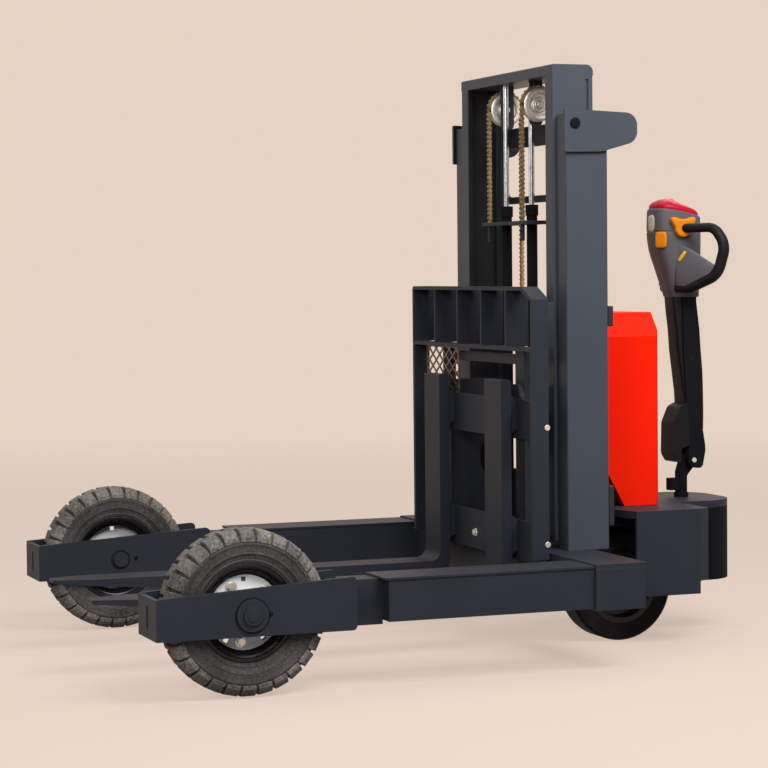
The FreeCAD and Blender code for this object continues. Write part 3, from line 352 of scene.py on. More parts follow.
def circle(centre, first, second, radius, sides):
    """Points round a centre, in the plane of two unit vectors."""
    turns = [2 * math.pi * k / sides for k in range(sides)]
    return [centre + (first * math.cos(turn) + second * math.sin(turn)) * radius for turn in turns]


def squared(value, power):
    """A sine or cosine pushed outward, which squares a circle as power rises above 2."""
    return math.copysign(abs(value) ** (2 / power), value)


def mirrored(side):
    """Closed profile from (distance from the middle, radius) points of one side."""
    return list(side) + [(-along, radius) for along, radius in reversed(side) if along > 0]


def skin(bm, loops, closed=True, capped=False):
    """Faces between loops of points; closed joins the last loop to the first."""
    rows = [[bm.verts.new(point) for point in loop] for loop in loops]
    count = len(rows[0])
    for i in range(0 if closed else 1, len(rows)):
        before, here = rows[i - 1], rows[i]
        for j in range(count):
            bm.faces.new((before[j - 1], before[j], here[j], here[j - 1]))
    if capped:
        bm.faces.new(rows[0])
        bm.faces.new(rows[-1])


def lathe(bm, centre, profile, segments):
    """Ring about a Y axis through centre, from (distance along Y, radius) points."""
    loops = []
    for i in range(segments):
        outward = spoke(2 * math.pi * i / segments)
        loops.append([centre + Y * along + outward * radius for along, radius in profile])
    skin(bm, loops)


def rod(bm, foot, tip, radius, sides=24, edge=0.6):
    """Round bar between two points with chamfered ends."""
    way = (tip - foot).normalized()
    first = way.orthogonal().normalized()
    second = way.cross(first)
    rings = ((foot, radius - edge), (foot + way * edge, radius),
             (tip - way * edge, radius), (tip, radius - edge))
    loops = [circle(at, first, second, size, sides) for at, size in rings]
    skin(bm, loops, closed=False, capped=True)


# A bolt's washer and head as shares of its thread's diameter
WASHER_T, WASHER_R = 0.18, 1.15
BOLT_FOOT, BOLT_TOP, BOLT_R, BOLT_EDGE = 0.16, 0.85, 0.92, 0.08


def hex_bolt(bm, at, way, size):
    """Hexagon head on a washer; size is the thread's diameter."""
    rod(bm, at, at + way * size * WASHER_T, size * WASHER_R, sides=28, edge=0.3)
    rod(bm, at + way * size * BOLT_FOOT, at + way * size * BOLT_TOP, size * BOLT_R, sides=6,
        edge=size * BOLT_EDGE)


def pillow(bm, centre, half, power, turn=Matrix.Identity(3), steps=10):
    """Rounded block: an ellipsoid that grows squarer as power rises above 2."""
    loops = []
    for i in range(steps + 1):
        tilt = math.pi * (i / steps - 0.5)
        girth, height = squared(math.cos(tilt), power), squared(math.sin(tilt), power)
        row = []
        for k in range(2 * steps):
            angle = math.pi * k / steps
            ahead, aside = squared(math.cos(angle), power), squared(math.sin(angle), power)
            point = Vector((girth * ahead * half[0], girth * aside * half[1], height * half[2]))
            row.append(centre + turn @ point)
        loops.append(row)
    skin(bm, loops, closed=False)


def sweep(bm, path, radii, sides=20):
    """Round tube along a list of points with a radius each, its rings kept from twisting."""
    loops = []
    first = None
    for i, point in enumerate(path):
        way = (path[min(i + 1, len(path) - 1)] - path[max(i - 1, 0)]).normalized()
        first = way.orthogonal() if first is None else first - way * first.dot(way)
        first.normalize()
        loops.append(circle(point, first, way.cross(first), radii[i], sides))
    skin(bm, loops, closed=False, capped=True)


def block(bm, low, high, edge=1.0):
    """Box between two corners with eased edges."""
    made = bmesh.ops.create_cube(bm, size=1.0)["verts"]
    for vert in made:
        vert.co = Vector([low[i] + (vert.co[i] + 0.5) * (high[i] - low[i]) for i in range(3)])
    edges = {link for vert in made for link in vert.link_edges}
    bmesh.ops.bevel(bm, geom=list(edges), offset=edge, segments=2, affect="EDGES", profile=0.5)


def plate(bm, outline, thickness, edge, origin, along, off):
    """Upright plate with rounded rims, from (along, up) points: along and off are its ways
    across its face and through its thickness."""
    middle_u = sum(u for u, v in outline) / len(outline)
    middle_v = sum(v for u, v in outline) / len(outline)
    half = thickness / 2
    # distance through the thickness, and how far the outline draws in there
    steps = ((-half, edge), (edge * 0.3 - half, edge * 0.3), (edge - half, 0.0),
             (half - edge, 0.0), (half - edge * 0.3, edge * 0.3), (half, edge))
    loops = []
    for through, inset in steps:
        loop = []
        for u, v in outline:
            share = 1 - inset / math.hypot(u - middle_u, v - middle_v)
            drawn_u, drawn_v = middle_u + (u - middle_u) * share, middle_v + (v - middle_v) * share
            loop.append(origin + along * drawn_u + Z * drawn_v + off * through)
        loops.append(loop)
    skin(bm, loops, closed=False, capped=True)


# Front wheels: block tyres, enamelled rims and white discs

LUGS = 28
LUG_EASE = 1.4
LUG_LEAN = 0.03
TREAD_R = 206.2
GROOVE_R = 193.5
BEAD_R = 122.0
RIM_HALF_W = 41.0
HUB_HALF_W = 48.0
DISC_R = 93.0
DISC_T = 5.0
NUT_CIRCLE_R = 73.0
NUT_SEAT = 18.4
NUT_SIZE = 12.0
NUT_TURN = math.radians(27)
WINDOW_COUNT = 5
WINDOW_TURN = math.radians(0.5)

# distance from the middle, radius of the lug's top, radius of its foot, half width as a share of the pitch
LUG_STATIONS = (
    (1.4, 204.6, GROOVE_R, 0.39), (2.8, TREAD_R, GROOVE_R, 0.40), (18.0, 206.0, GROOVE_R, 0.41),
    (18.5, 202.6, GROOVE_R, 0.41), (20.5, 202.4, GROOVE_R, 0.41), (21.0, 205.8, GROOVE_R, 0.41),
    (36.0, 204.6, 194.0, 0.42), (44.0, 201.6, 192.0, 0.43), (50.5, 195.5, 188.0, 0.435),
    (55.4, 186.5, 183.0, 0.44), (55.9, 179.0, 177.5, 0.44), (54.4, 176.8, 176.0, 0.44),
)
# distance from the middle and radius along one sidewall, from the tread to the bead
SIDEWALL = (
    (0.0, GROOVE_R), (36.0, 193.6), (46.0, 190.0), (51.6, 184.0), (53.6, 178.0), (54.0, 173.6),
    (55.2, 172.4), (55.2, 169.4), (54.0, 168.0), (53.6, 158.0), (52.4, 150.0), (53.4, 148.8),
    (53.0, 146.4), (51.0, 145.0), (48.6, 138.0), (46.6, 133.0), (47.4, 131.0), (46.4, 128.0),
    (44.0, 126.0), (42.4, BEAD_R + 0.2), (0.0, BEAD_R + 0.2),
)
# distance in from the rim's edge and radius, from the bead's seat round the flange to the well
RIM_SIDE = (
    (1.2, 121.6), (0.0, 119.6), (0.0, 113.0), (1.6, 111.4), (4.5, 108.0), (6.0, 104.0), (15.0, 102.4),
    (19.0, 98.0), (22.0, DISC_R),
)
# distance from the middle and radius round the hub
HUB_PROFILE = (
    (-HUB_HALF_W, 15.2), (HUB_HALF_W, 15.2), (HUB_HALF_W, 29.0), (46.0, 30.4), (20.0, 33.6), (-46.0, 30.4),
    (-HUB_HALF_W, 29.0),
)
# radius of each ring of the disc and how far out it stands; the windows start at the fourth ring
DISC_RINGS = ((36.0, 21.0), (52.0, 20.0), (64.0, 17.0), (76.0, 16.5), (87.0, 16.5), (DISC_R, 17.5))
WINDOW_RING = 3
# cells of the disc from window to window, and how many from a window's middle to its solid side
CELLS_PER_WINDOW = 24
WINDOW_REACH = 2


def lug(bm, centre, side, angle, pitch):
    """One tread block with eased edges and a narrow slit across it."""
    loops = []
    lean = LUG_LEAN * pitch
    for along, top, foot, share in LUG_STATIONS:
        half = share * pitch
        ease = min(LUG_EASE, (top - foot) / 2)
        flank = ((-half, foot), (-half + lean, top - ease), (-half + 2 * lean, top))
        row = flank + tuple((-turn, radius) for turn, radius in reversed(flank))
        loops.append([centre + Y * side * along + spoke(angle + turn) * radius for turn, radius in row])
    skin(bm, loops, closed=False, capped=True)


def block_tyre(side_name):
    """Casing with ribbed sidewalls, and two rows of lugs set half a pitch apart."""
    centre = box_of("front_tyre_" + side_name)[2]
    body = "wheel_" + side_name
    bm = bmesh.new()
    lathe(bm, centre, mirrored(SIDEWALL), segments=168)
    piece("tyre_casing_" + side_name, bm, SIDEWALL_RUBBER, body, ["front_tyre_" + side_name],
          crease=40)

    pitch = 2 * math.pi / LUGS
    bm = bmesh.new()
    for row_side, offset in ((1, 0.0), (-1, 0.5)):
        for i in range(LUGS):
            lug(bm, centre, row_side, (i + offset) * pitch, pitch)
    piece("tyre_lugs_" + side_name, bm, TREAD_RUBBER, body, crease=24)


def windowed_disc(bm, centre, side):
    """Dished disc with windows near its rim, given its thickness at the end."""
    count = CELLS_PER_WINDOW * WINDOW_COUNT
    spokes = [spoke(WINDOW_TURN + 2 * math.pi * (k + 0.5) / count) for k in range(count)]
    rows = []
    for radius, out in DISC_RINGS:
        rows.append([bm.verts.new(centre + Y * side * out + way * radius) for way in spokes])
    for i in range(len(DISC_RINGS) - 1):
        for k in range(count):
            beside = (k + CELLS_PER_WINDOW // 2) % CELLS_PER_WINDOW - CELLS_PER_WINDOW // 2
            if i == WINDOW_RING and abs(beside) < WINDOW_REACH:
                continue
            bm.faces.new((rows[i][k - 1], rows[i][k], rows[i + 1][k], rows[i + 1][k - 1]))
    bmesh.ops.recalc_face_normals(bm, faces=bm.faces)
    bmesh.ops.solidify(bm, geom=bm.faces[:], thickness=DISC_T)


def front_rim(side_name, side):
    """Rim with its hub, the white disc on its outer side, and the disc's nuts."""
    centre = box_of("front_rim_" + side_name)[2]
    body = "wheel_" + side_name
    bm = bmesh.new()
    side_profile = [(RIM_HALF_W - inset, radius) for inset, radius in RIM_SIDE]
    lathe(bm, centre, mirrored(side_profile), segments=128)
    lathe(bm, centre, HUB_PROFILE, segments=64)
    piece("rim_" + side_name, bm, RIM_ENAMEL, body, ["front_rim_" + side_name], crease=25)

    bm = bmesh.new()
    windowed_disc(bm, centre, side)
    piece("hub_disc_" + side_name, bm, HUB_PAINT, body, crease=30)

    bm = bmesh.new()
    for k in range(WINDOW_COUNT):
        at = centre + spoke(NUT_TURN + 2 * math.pi * k / WINDOW_COUNT) * NUT_CIRCLE_R + Y * side * NUT_SEAT
        hex_bolt(bm, at, Y * side, NUT_SIZE)
    piece("wheel_nuts_" + side_name, bm, ZINC, body, crease=25)


# Lift chains and their sheaves

CHAIN_PITCH = 12.7
CHAIN_HALF_W = 7.0
PIN_HALF_L = 6.6
PIN_R = 2.1
ROLLER_HALF_L = 2.9
ROLLER_R = 4.2
PLATE_T = 1.5
PLATE_R = 5.7
WAIST_R = 2.8
INNER_PLATE = 3.0
OUTER_PLATE = 4.7
WRAP_LINKS = 12

SHEAVE_HALF_W = 12.0
# distance from the middle and radius of one side of a sheave, from its bore to its groove
SHEAVE_SIDE = (
    (11.6, 12.2), (11.6, 19.0), (10.4, 20.6), (5.4, 22.0), (5.4, 31.0), (10.8, 33.0), (11.8, 35.0),
    (11.8, 43.0), (10.2, 46.4), (8.4, 46.4), (7.6, 43.0),
)
# distance from the middle of both ends, and radius
SHEAVE_BOSS = (11.0, 14.0, 14.0)
SHEAVE_NUT = (13.6, 19.0, 9.5)


def link_plate(bm, at, way, up, near, far):
    """Waisted plate between two pins, from near to far across the chain."""
    steps = 6
    shape = []
    for end in (-1, 1):
        for k in range(steps + 1):
            turn = math.pi / 2 + math.pi * k / steps
            shape.append((end * (CHAIN_PITCH / 2 - math.cos(turn) * PLATE_R),
                          -end * math.sin(turn) * PLATE_R))
        shape.append((0.0, end * WAIST_R))
    loops = [[at + way * u + up * v + Y * y for u, v in shape] for y in (near, far)]
    skin(bm, loops, closed=False, capped=True)


def chain_along(bm, points):
    """Roller chain whose pins stand on the points, with inner and outer plates in turn."""
    for i, point in enumerate(points):
        rod(bm, point - Y * PIN_HALF_L, point + Y * PIN_HALF_L, PIN_R, sides=8, edge=0.4)
        rod(bm, point - Y * ROLLER_HALF_L, point + Y * ROLLER_HALF_L, ROLLER_R, sides=10, edge=0.4)
        if i == 0:
            continue
        way = (point - points[i - 1]).normalized()
        up = way.cross(Y)
        face = INNER_PLATE if i % 2 else OUTER_PLATE
        for side in (1, -1):
            link_plate(bm, (point + points[i - 1]) / 2, way, up, side * face, side * (face + PLATE_T))


def straight_run(foot, top):
    """Pins a pitch apart, as near as whole links allow."""
    count = round((top - foot).length / CHAIN_PITCH)
    return [foot.lerp(top, k / count) for k in range(count + 1)]


def lift_chains():
    """Front runs that stay in place, and wraps and rear runs that ride on the inner mast."""
    front, rear = box_of("chain_fixed_runs"), box_of("chain_carriage_runs")
    sheave = box_of("chain_sheaves")[2]
    chain_y = (front[1].y - front[0].y) / 2 - CHAIN_HALF_W
    pitch_r = sheave.x - rear[2].x
    fixed, rising, wraps = bmesh.new(), bmesh.new(), bmesh.new()
    for side in (1, -1):
        y = side * chain_y
        for bm, x, foot_z in ((fixed, front[2].x, front[0].z), (rising, rear[2].x, rear[0].z)):
            chain_along(bm, straight_run(Vector((x, y, foot_z)), Vector((x, y, sheave.z))))
        middle = Vector((sheave.x, y, sheave.z))
        turns = [math.pi * k / WRAP_LINKS for k in range(WRAP_LINKS + 1)]
        chain_along(wraps, [middle + (X * math.cos(turn) + Z * math.sin(turn)) * pitch_r for turn in turns])
    run = piece("lift_chain_front_runs", fixed, CHAIN_STEEL, None, ["chain_fixed_runs"])
    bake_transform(run)
    run = piece("lift_chain_rear_runs", rising, CHAIN_STEEL, "inner_mast",
                ["chain_carriage_runs"])
    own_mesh(run)
    piece("lift_chain_wraps", wraps, CHAIN_STEEL, "inner_mast", ["chain_wraps"])


def sheaves():
    """Two grooved wheels, each with a boss and the nut of its pin on both sides."""
    high, centre = box_of("chain_sheaves")[1:]
    bm = bmesh.new()
    for side in (1, -1):
        at = Vector((centre.x, side * (high.y - SHEAVE_HALF_W), centre.z))
        lathe(bm, at, mirrored(SHEAVE_SIDE), segments=72)
        for way in (Y, -Y):
            for (near, far, radius), sides, edge in ((SHEAVE_BOSS, 32, 0.8), (SHEAVE_NUT, 6, 1.2)):
                rod(bm, at + way * near, at + way * far, radius, sides=sides, edge=edge)
    piece("lift_chain_sheaves", bm, ZINC, "inner_mast", ["chain_sheaves"], crease=28)


# Bolts and lips of the frame

BAR_BOLT_HEIGHTS = (305.0, 616.0)
BAR_BOLT_SETBACK = 43.0
BAR_BOLT_R = 8.0
BAR_BOLT_T = 3.0
PLATE_BOLT_SETBACK = 26.0
PLATE_BOLT_Y = -21.0
PLATE_BOLT_Z = 296.0
PLATE_BOLT_SIZE = 10.0

# boss of an axle on the outer and the inner plate of the wheel's frame: way out, radius
AXLE_BOSSES = ((1, 40.0), (-1, 24.0))
KEEPER_BEHIND = 46.0
KEEPER_RISE = 2.0
KEEPER_SUNK = 2.0
KEEPER_PROUD = 3.4
KEEPER_R = 6.0
# dark rings round the axle bosses, painted as the bosses' shade: gap to the boss, reach, depth sunk, height
# proud
SHADE_RING_CLEAR = 0.3
SHADE_RING_REACH = 4.0
SHADE_RING_SUNK = 1.0
SHADE_RING_PROUD = 1.6

BRACKET_BOLT_SETBACK = 30.0
BRACKET_BOLT_DROP = 38.0
# where it starts and ends, out from the bracket's face, and radius
SOCKET_HEAD = (-1.0, 5.0, 14.5)
SOCKET_KEY = (4.6, 5.2, 9.0)

BACKREST_CELLS = 5
BACKREST_WALL = 10.0
LIP_REACH = 8.0
# half thickness of a lip and how far it laps the backrest, for its end walls and its ribs
END_LIP = (4.8, 14.0)
RIB_LIP = (3.8, 2.0)
CUT_CORNER = 40.0


def carriage_bolts():
    """Bolt heads on the carriage's side bars, and one bolt in its lower plate."""
    high = box_of("backrest")[1]
    bm = bmesh.new()
    for side in (Y, -Y):
        for z in BAR_BOLT_HEIGHTS:
            seat = X * (high.x - BAR_BOLT_SETBACK) + side * high.y + Z * z
            rod(bm, seat, seat + side * BAR_BOLT_T, BAR_BOLT_R, edge=1.2)
    hex_bolt(bm, Vector((high.x - PLATE_BOLT_SETBACK, PLATE_BOLT_Y, PLATE_BOLT_Z)), X, PLATE_BOLT_SIZE)
    piece("carriage_bolts", bm, ZINC, "carriage", crease=25)


def axle_fittings():
    """Keeper bolts of the front axles, and dark rings round their bosses as painted shade, on
    both plates of each wheel frame.
    """
    axle = box_of("front_axle_left")[2]
    wheel_y = box_of("front_rim_left")[2].y
    plate_gap = wheel_y - box_of("leg_left")[0].y
    keepers, shade_rings = bmesh.new(), bmesh.new()
    for side in (1, -1):
        for out, boss_r in AXLE_BOSSES:
            way = Y * side * out
            face = Vector((axle.x, side * wheel_y, axle.z)) + way * plate_gap
            keeper = face - X * KEEPER_BEHIND + Z * KEEPER_RISE
            rod(keepers, keeper - way * KEEPER_SUNK, keeper + way * KEEPER_PROUD, KEEPER_R, edge=1.6)
            # a dark ring round the boss, as painted shade
            sunk, proud = -SHADE_RING_SUNK * side * out, SHADE_RING_PROUD * side * out
            inner, outer = boss_r + SHADE_RING_CLEAR, boss_r + SHADE_RING_REACH
            ring = ((sunk, inner), (proud, inner), (proud, outer), (sunk, outer))
            lathe(shade_rings, face, ring, segments=64)
    piece("axle_keeper_bolts", keepers, DRIVE_COAT, "chassis", crease=25)
    piece("axle_painted_shade_rings", shade_rings, GRIP_PLASTIC, "chassis", crease=25)


def bracket_bolts():
    """Black socket bolts that hold the mast's top brackets."""
    high = box_of("mast_brace")[1]
    bm = bmesh.new()
    for side in (Y, -Y):
        at = X * (high.x - BRACKET_BOLT_SETBACK) + side * high.y + Z * (high.z - BRACKET_BOLT_DROP)
        for (near, far, radius), sides, edge in ((SOCKET_HEAD, 32, 1.8), (SOCKET_KEY, 6, 0.2)):
            rod(bm, at + side * near, at + side * far, radius, sides=sides, edge=edge)
    piece("brace_socket_bolts", bm, DRIVE_COAT, "chassis", crease=25)


def backrest_lips():
    """Folded lips that carry the backrest's ribs and end walls further back."""
    low, high = box_of("backrest")[:2]
    cell = (2 * high.y - BACKREST_WALL) / BACKREST_CELLS
    bm = bmesh.new()
    for i in range(BACKREST_CELLS + 1):
        y = low.y + BACKREST_WALL / 2 + i * cell
        half, lap = END_LIP if i in (0, BACKREST_CELLS) else RIB_LIP
        top = high.z - (BACKREST_WALL if i < BACKREST_CELLS else CUT_CORNER)
        block(bm, (low.x - LIP_REACH, y - half, low.z + BACKREST_WALL), (low.x + lap, y + half, top))
    piece("backrest_lips", bm, FRAME_COAT, "carriage", crease=30)


# Tiller head

head_foot, head_middle = box_of("tiller_head")[::2]
# how far the head's middle stands ahead of the tilt pin
HEAD_AHEAD = 42.0
# how much lower the rear of the sloping top lies, and the power of its curve
HEAD_DROP = 24.0
DROP_CURVE = 1.4
PIN_X = head_middle.x - HEAD_AHEAD
FOOT_Z = head_foot.z

# height over the head's foot, how far its middle stands ahead of the tilt pin, half depth, half width
HEAD_STATIONS = (
    (0.6, 18, 40, 36), (1.2, 18, 44.5, 39.8), (4, 18.4, 46.6, 41.6), (28, 22, 49.5, 45),
    (51, 26, 53.6, 49.4), (94, 32, 61.4, 55.4), (116, 36, 65.4, 58), (138, 39, 68.4, 59.6),
    (165, 41, 71, 60.4), (186, 42, 71.8, 60.6), (188, 42, 70.4, 59.2), (191, 42, 70.4, 59.2),
    (193, 42, 71.8, 60.4), (225, 42, 71.4, 59.6), (247, 42, 70.8, 58.6), (253, 42, 69.4, 57.4),
    (256.6, 42, 66, 54.2), (256.8, 42, 40, 30),
)
# height over the head's foot at which its rings start to slope, and over how much they reach the full drop
SLOPE_FROM, SLOPE_RUN = 200.0, 57.0
# height over the cap's foot, half depth, half width
CAP_STATIONS = (
    (-1.0, 64.5, 53.5), (3.0, 65.4, 54.4), (8.0, 64.6, 53.6), (13.0, 61.6, 50.8), (17.5, 56.6, 46.0),
    (21.5, 49.4, 39.6), (25.0, 39.0, 31.0), (27.6, 26.0, 20.5), (28.8, 12.0, 9.5),
)


def head_ring(middle, z, depth, width, drop=0.0, power=3.6, count=64):
    """Ring with rounded corners: depth along X and width along Y are half sizes, and its rear
    hangs lower than its front by the drop."""
    ring = []
    for k in range(count):
        angle = 2 * math.pi * k / count
        ahead, aside = squared(math.cos(angle), power), squared(math.sin(angle), power)
        hang = drop * ((1 - ahead) / 2) ** DROP_CURVE
        ring.append(Vector((middle + ahead * depth, aside * width, z - hang)))
    return ring


def tiller_head():
    """Head that widens upward, and the domed cap on its sloping top."""
    bm = bmesh.new()
    rings = []
    for up, ahead, depth, width in HEAD_STATIONS:
        drop = HEAD_DROP * max(0.0, (up - SLOPE_FROM) / SLOPE_RUN)
        rings.append(head_ring(PIN_X + ahead, FOOT_Z + up, depth, width, drop))
    skin(bm, rings, closed=False, capped=True)
    piece("tiller_head_shell", bm, HEAD_PLASTIC, "tiller_lever", ["tiller_head"],
          crease=28)

    cap_foot = box_of("tiller_cap")[0].z
    bm = bmesh.new()
    rings = [head_ring(PIN_X + HEAD_AHEAD, cap_foot + up, depth, width, HEAD_DROP)
             for up, depth, width in CAP_STATIONS]
    skin(bm, rings, closed=False, capped=True)
    piece("emergency_reverse_cap", bm, CAP_PLASTIC, "tiller_lever", ["tiller_cap"], crease=50)


# Handle loops and controls

# distance out from the head, height over its foot, bend radius, shift to the rear
LOOP_CORNERS = (
    (-14.0, 198.0, 0, 0), (112.0, 200.0, 40, 0), (147.0, 150.0, 60, 0), (122.0, 64.0, 60, 0),
    (30.0, 27.0, 40, 5), (-20.0, 28.0, 0, 14),
)
# share of a loop's reach that goes to the rear, and to the side
LOOP_BACK, LOOP_OUT = 0.594, 0.804
LOOP_END_R = 13.2
LOOP_SWELL = 2.6
# the web in the loop's lower corner: distance out from the head, height over its foot
WEB_OUTLINE = (
    (-8.0, 34.0), (30.0, 30.0), (74.0, 46.0), (108.0, 60.0), (120.0, 74.0), (118.0, 88.0), (103.0, 99.0),
    (76.0, 115.0), (50.0, 131.0), (20.0, 147.0), (-8.0, 154.0),
)
WEB_T = 13.0
WEB_EDGE = 4.0

PADDLE_T = 20.0
PADDLE_EDGE = 5.0
PADDLE_R = 26.0
HORN_REACH = 21.0
HORN_SPREAD = 0.36
HORN_ANGLES = (math.radians(38), math.radians(142))
# places on the head: ahead of the tilt pin, out to the side, height over the head's foot
LOOP_ROOT = (54.0, 55.0, 0.0)
PADDLE_ROOT = (46.0, 66.0, 199.0)
FRONT_PADDLE_AT = (104.5, 44.0, 166.0)
DISPLAY_AT = (111.0, 0.0, 214.0)
# half sizes and turns of the rounded blocks
FRONT_PADDLE_HALF = (5.0, 18.0, 23.0)
FRONT_PADDLE_TURN = 0.55
DISPLAY_HALF = (4.0, 20.0, 24.0)
BUTTON_HALF = (5.0, 3.4, 18.0)
BUTTON_LEAN = 0.66
# a lift button's distance out from the head, height over its foot and distance before the web
BUTTON_AT = (14.0, 118.0, 6.5)


def loop_path(points, radii, steps=9):
    """Points along straight runs joined by arcs of the given radii."""
    path = [points[0]]
    for i in range(1, len(points) - 1):
        before = (points[i - 1] - points[i]).normalized()
        after = (points[i + 1] - points[i]).normalized()
        half = before.angle(after) / 2
        reach = radii[i] / math.tan(half)
        middle = points[i] + (before + after).normalized() * (radii[i] / math.sin(half))
        first, last = points[i] + before * reach - middle, points[i] + after * reach - middle
        for k in range(steps + 1):
            arm = first.slerp(last, k / steps)
            path.append(middle + arm * first.length / arm.length)
    path.append(points[-1])
    return path


def butterfly(steps=72):
    """Outline of the throttle: a round middle with two horns that rise to the front and rear."""
    outline = []
    for k in range(steps):
        angle = 2 * math.pi * k / steps
        reach = PADDLE_R
        for horn in HORN_ANGLES:
            reach += HORN_REACH * math.exp(-((angle - horn) / HORN_SPREAD) ** 2)
        outline.append((math.cos(angle) * reach, math.sin(angle) * reach))
    return outline


def on_head(at, side=1):
    """Point of the scene from a place on the head, on the left or mirrored to the right."""
    return Vector((PIN_X + at[0], at[1] * side, FOOT_Z + at[2]))


def loop_plane(side):
    """Foot of a handle loop on the head, its way out, and the way square to its plane."""
    out_way = Vector((-LOOP_BACK, LOOP_OUT * side, 0))
    return on_head(LOOP_ROOT, side), out_way, Vector((LOOP_OUT, LOOP_BACK * side, 0))


def handles():
    """Two looped grips, which sweep back from the head, with a web in each lower corner."""
    grips, webs = bmesh.new(), bmesh.new()
    for side in (1, -1):
        foot, out_way, flat = loop_plane(side)
        corners, bends = [], []
        for out, up, bend, back in LOOP_CORNERS:
            corners.append(foot + out_way * out + Z * up - X * back)
            bends.append(bend)
        path = loop_path(corners, bends)
        last = len(path) - 1
        radii = [LOOP_END_R + LOOP_SWELL * math.sin(math.pi * i / last) for i in range(last + 1)]
        sweep(grips, path, radii, sides=24)
        plate(webs, WEB_OUTLINE, WEB_T, WEB_EDGE, foot, out_way, flat)
    piece("handle_grips", grips, GRIP_PLASTIC, "tiller_lever", ["handle_loops"], crease=50)
    piece("handle_webs", webs, HEAD_PLASTIC, "tiller_lever", crease=50)


def controls():
    """Throttle paddles on both sides and in front, the lift buttons, and the charge display."""
    paddles, buttons, display = bmesh.new(), bmesh.new(), bmesh.new()
    for side in (1, -1):
        plate(paddles, butterfly(), PADDLE_T, PADDLE_EDGE, on_head(PADDLE_ROOT, side), X, Y * side)
        foot, out_way, flat = loop_plane(side)
        out, up, before = BUTTON_AT
        leaning = Matrix((out_way, flat, Z)).transposed() @ Matrix.Rotation(BUTTON_LEAN, 3, "Y")
        at = foot + out_way * out + Z * up + flat * before
        pillow(buttons, at, BUTTON_HALF, power=4.0, turn=leaning)
    turned = Matrix.Rotation(FRONT_PADDLE_TURN, 3, "Z")
    pillow(paddles, on_head(FRONT_PADDLE_AT), FRONT_PADDLE_HALF, power=5.0, turn=turned)
    pillow(display, on_head(DISPLAY_AT), DISPLAY_HALF, power=4.0)
    piece("throttle_paddles", paddles, THROTTLE_PLASTIC, "tiller_lever", crease=50)
    piece("lift_buttons", buttons, BUTTON_PLASTIC, "tiller_lever", crease=50)
    piece("charge_display", display, CREAM_PLASTIC, "tiller_lever", crease=50)


# Tiller arm

ARM_REAR_BEHIND = 53.4
ARM_LEAN = 0.07
ARM_LEAN_FROM = 800.0
DUCT_HALF_W = 33.0
BULGE_HALF_W = 36.5
COVER_LAP = 8.0
# ahead of the arm's rear, out to the side, height, how far it stands out, radius
PIN_HEAD = (11.4, 41.0, 480.0, 3.6, 8.0)
ARM_PLUG = (15.0, 37.4, 770.0, 1.8, 6.0)
# height, how far the front duct stands out, how far the rear bulge does
COVER_STATIONS = (
    (956.0, 28.0, -2.0), (948.0, 28.0, 1.0), (900.0, 23.0, 8.0), (856.0, 17.0, 14.0), (800.0, 13.0, 18.0),
    (740.0, 9.0, 19.0), (690.0, 6.0, 17.0), (640.0, 1.0, 14.0), (600.0, -4.0, 11.0), (572.0, -6.0, 8.0),
    (548.0, -7.0, 3.0), (532.0, -7.0, -5.0),
)


def cover_ring(near, far, z, half_w):
    """Squarish ring between two places along X."""
    return head_ring((near + far) / 2, z, abs(far - near) / 2, half_w, power=5.0)


def arm_covers():
    """Rubber duct before the tiller's arm and the bulge of its rear side, both tapering down."""
    rear, front = head_middle.x - ARM_REAR_BEHIND, box_of("tiller_arm")[1].x
    duct, bulge = [], []
    for z, ahead, back in COVER_STATIONS:
        lean = max(0.0, ARM_LEAN_FROM - z) * ARM_LEAN
        duct.append(cover_ring(front - COVER_LAP - lean, front + ahead - lean, z, DUCT_HALF_W))
        bulge.append(cover_ring(rear + COVER_LAP - lean, rear - back - lean, z, BULGE_HALF_W))
    covers = (("arm_cable_duct", duct, GRIP_PLASTIC, "moulded_black"),
              ("arm_rear_bulge", bulge, DRIVE_COAT, "drive_metal"))
    for name, rings, finish, slot in covers:
        bm = bmesh.new()
        skin(bm, rings, closed=False, capped=True)
        piece(name, bm, finish, "tiller_lever", crease=35)

    pins, plugs = bmesh.new(), bmesh.new()
    for bm, round_part, sides, edge in ((pins, PIN_HEAD, 6, 1.0), (plugs, ARM_PLUG, 28, 0.8)):
        ahead, out, z, proud, radius = round_part
        for side in (Y, -Y):
            at = X * (rear + ahead) + side * out + Z * z
            rod(bm, at, at + side * proud, radius, sides=sides, edge=edge)
    piece("tilt_pin_heads", pins, ZINC, "tiller_lever", crease=30)
    piece("arm_plugs", plugs, GRIP_PLASTIC, "tiller_lever", crease=30)


for side_name, side in (("left", 1), ("right", -1)):
    block_tyre(side_name)
    front_rim(side_name, side)
lift_chains()
sheaves()
carriage_bolts()
axle_fittings()
bracket_bolts()
backrest_lips()
tiller_head()
handles()
controls()
arm_covers()


# Studio

BACKGROUND = "e6d2c2"
FLOOR_SECOND = "e5d1c0"
FLOOR_BOUNCE = "77757a"
FLOOR_DRIFT = 400
FLOOR_RADIUS = 14.0
# share of the floor's own glow near the machine, and the metres over which it rises to 1
NEAR_GLOW = 0.72
GLOW_FROM, GLOW_TO = 0.9, 8.4
AIR_COLOUR = "dfe3ea"
AIR_STRENGTH = 0.15


def shown_rays(tree):
    """Two shares: 1 for the rays of the eye, of gloss and of glass, and 1 for the eye's alone."""
    path = add(tree, "ShaderNodeLightPath", {})
    share = path.outputs["Is Camera Ray"]
    for kind in ("Is Glossy Ray", "Is Transmission Ray"):
        share = add(tree, "ShaderNodeMath", {0: share, 1: path.outputs[kind]}, operation="MAXIMUM")
    return share, path.outputs["Is Camera Ray"]


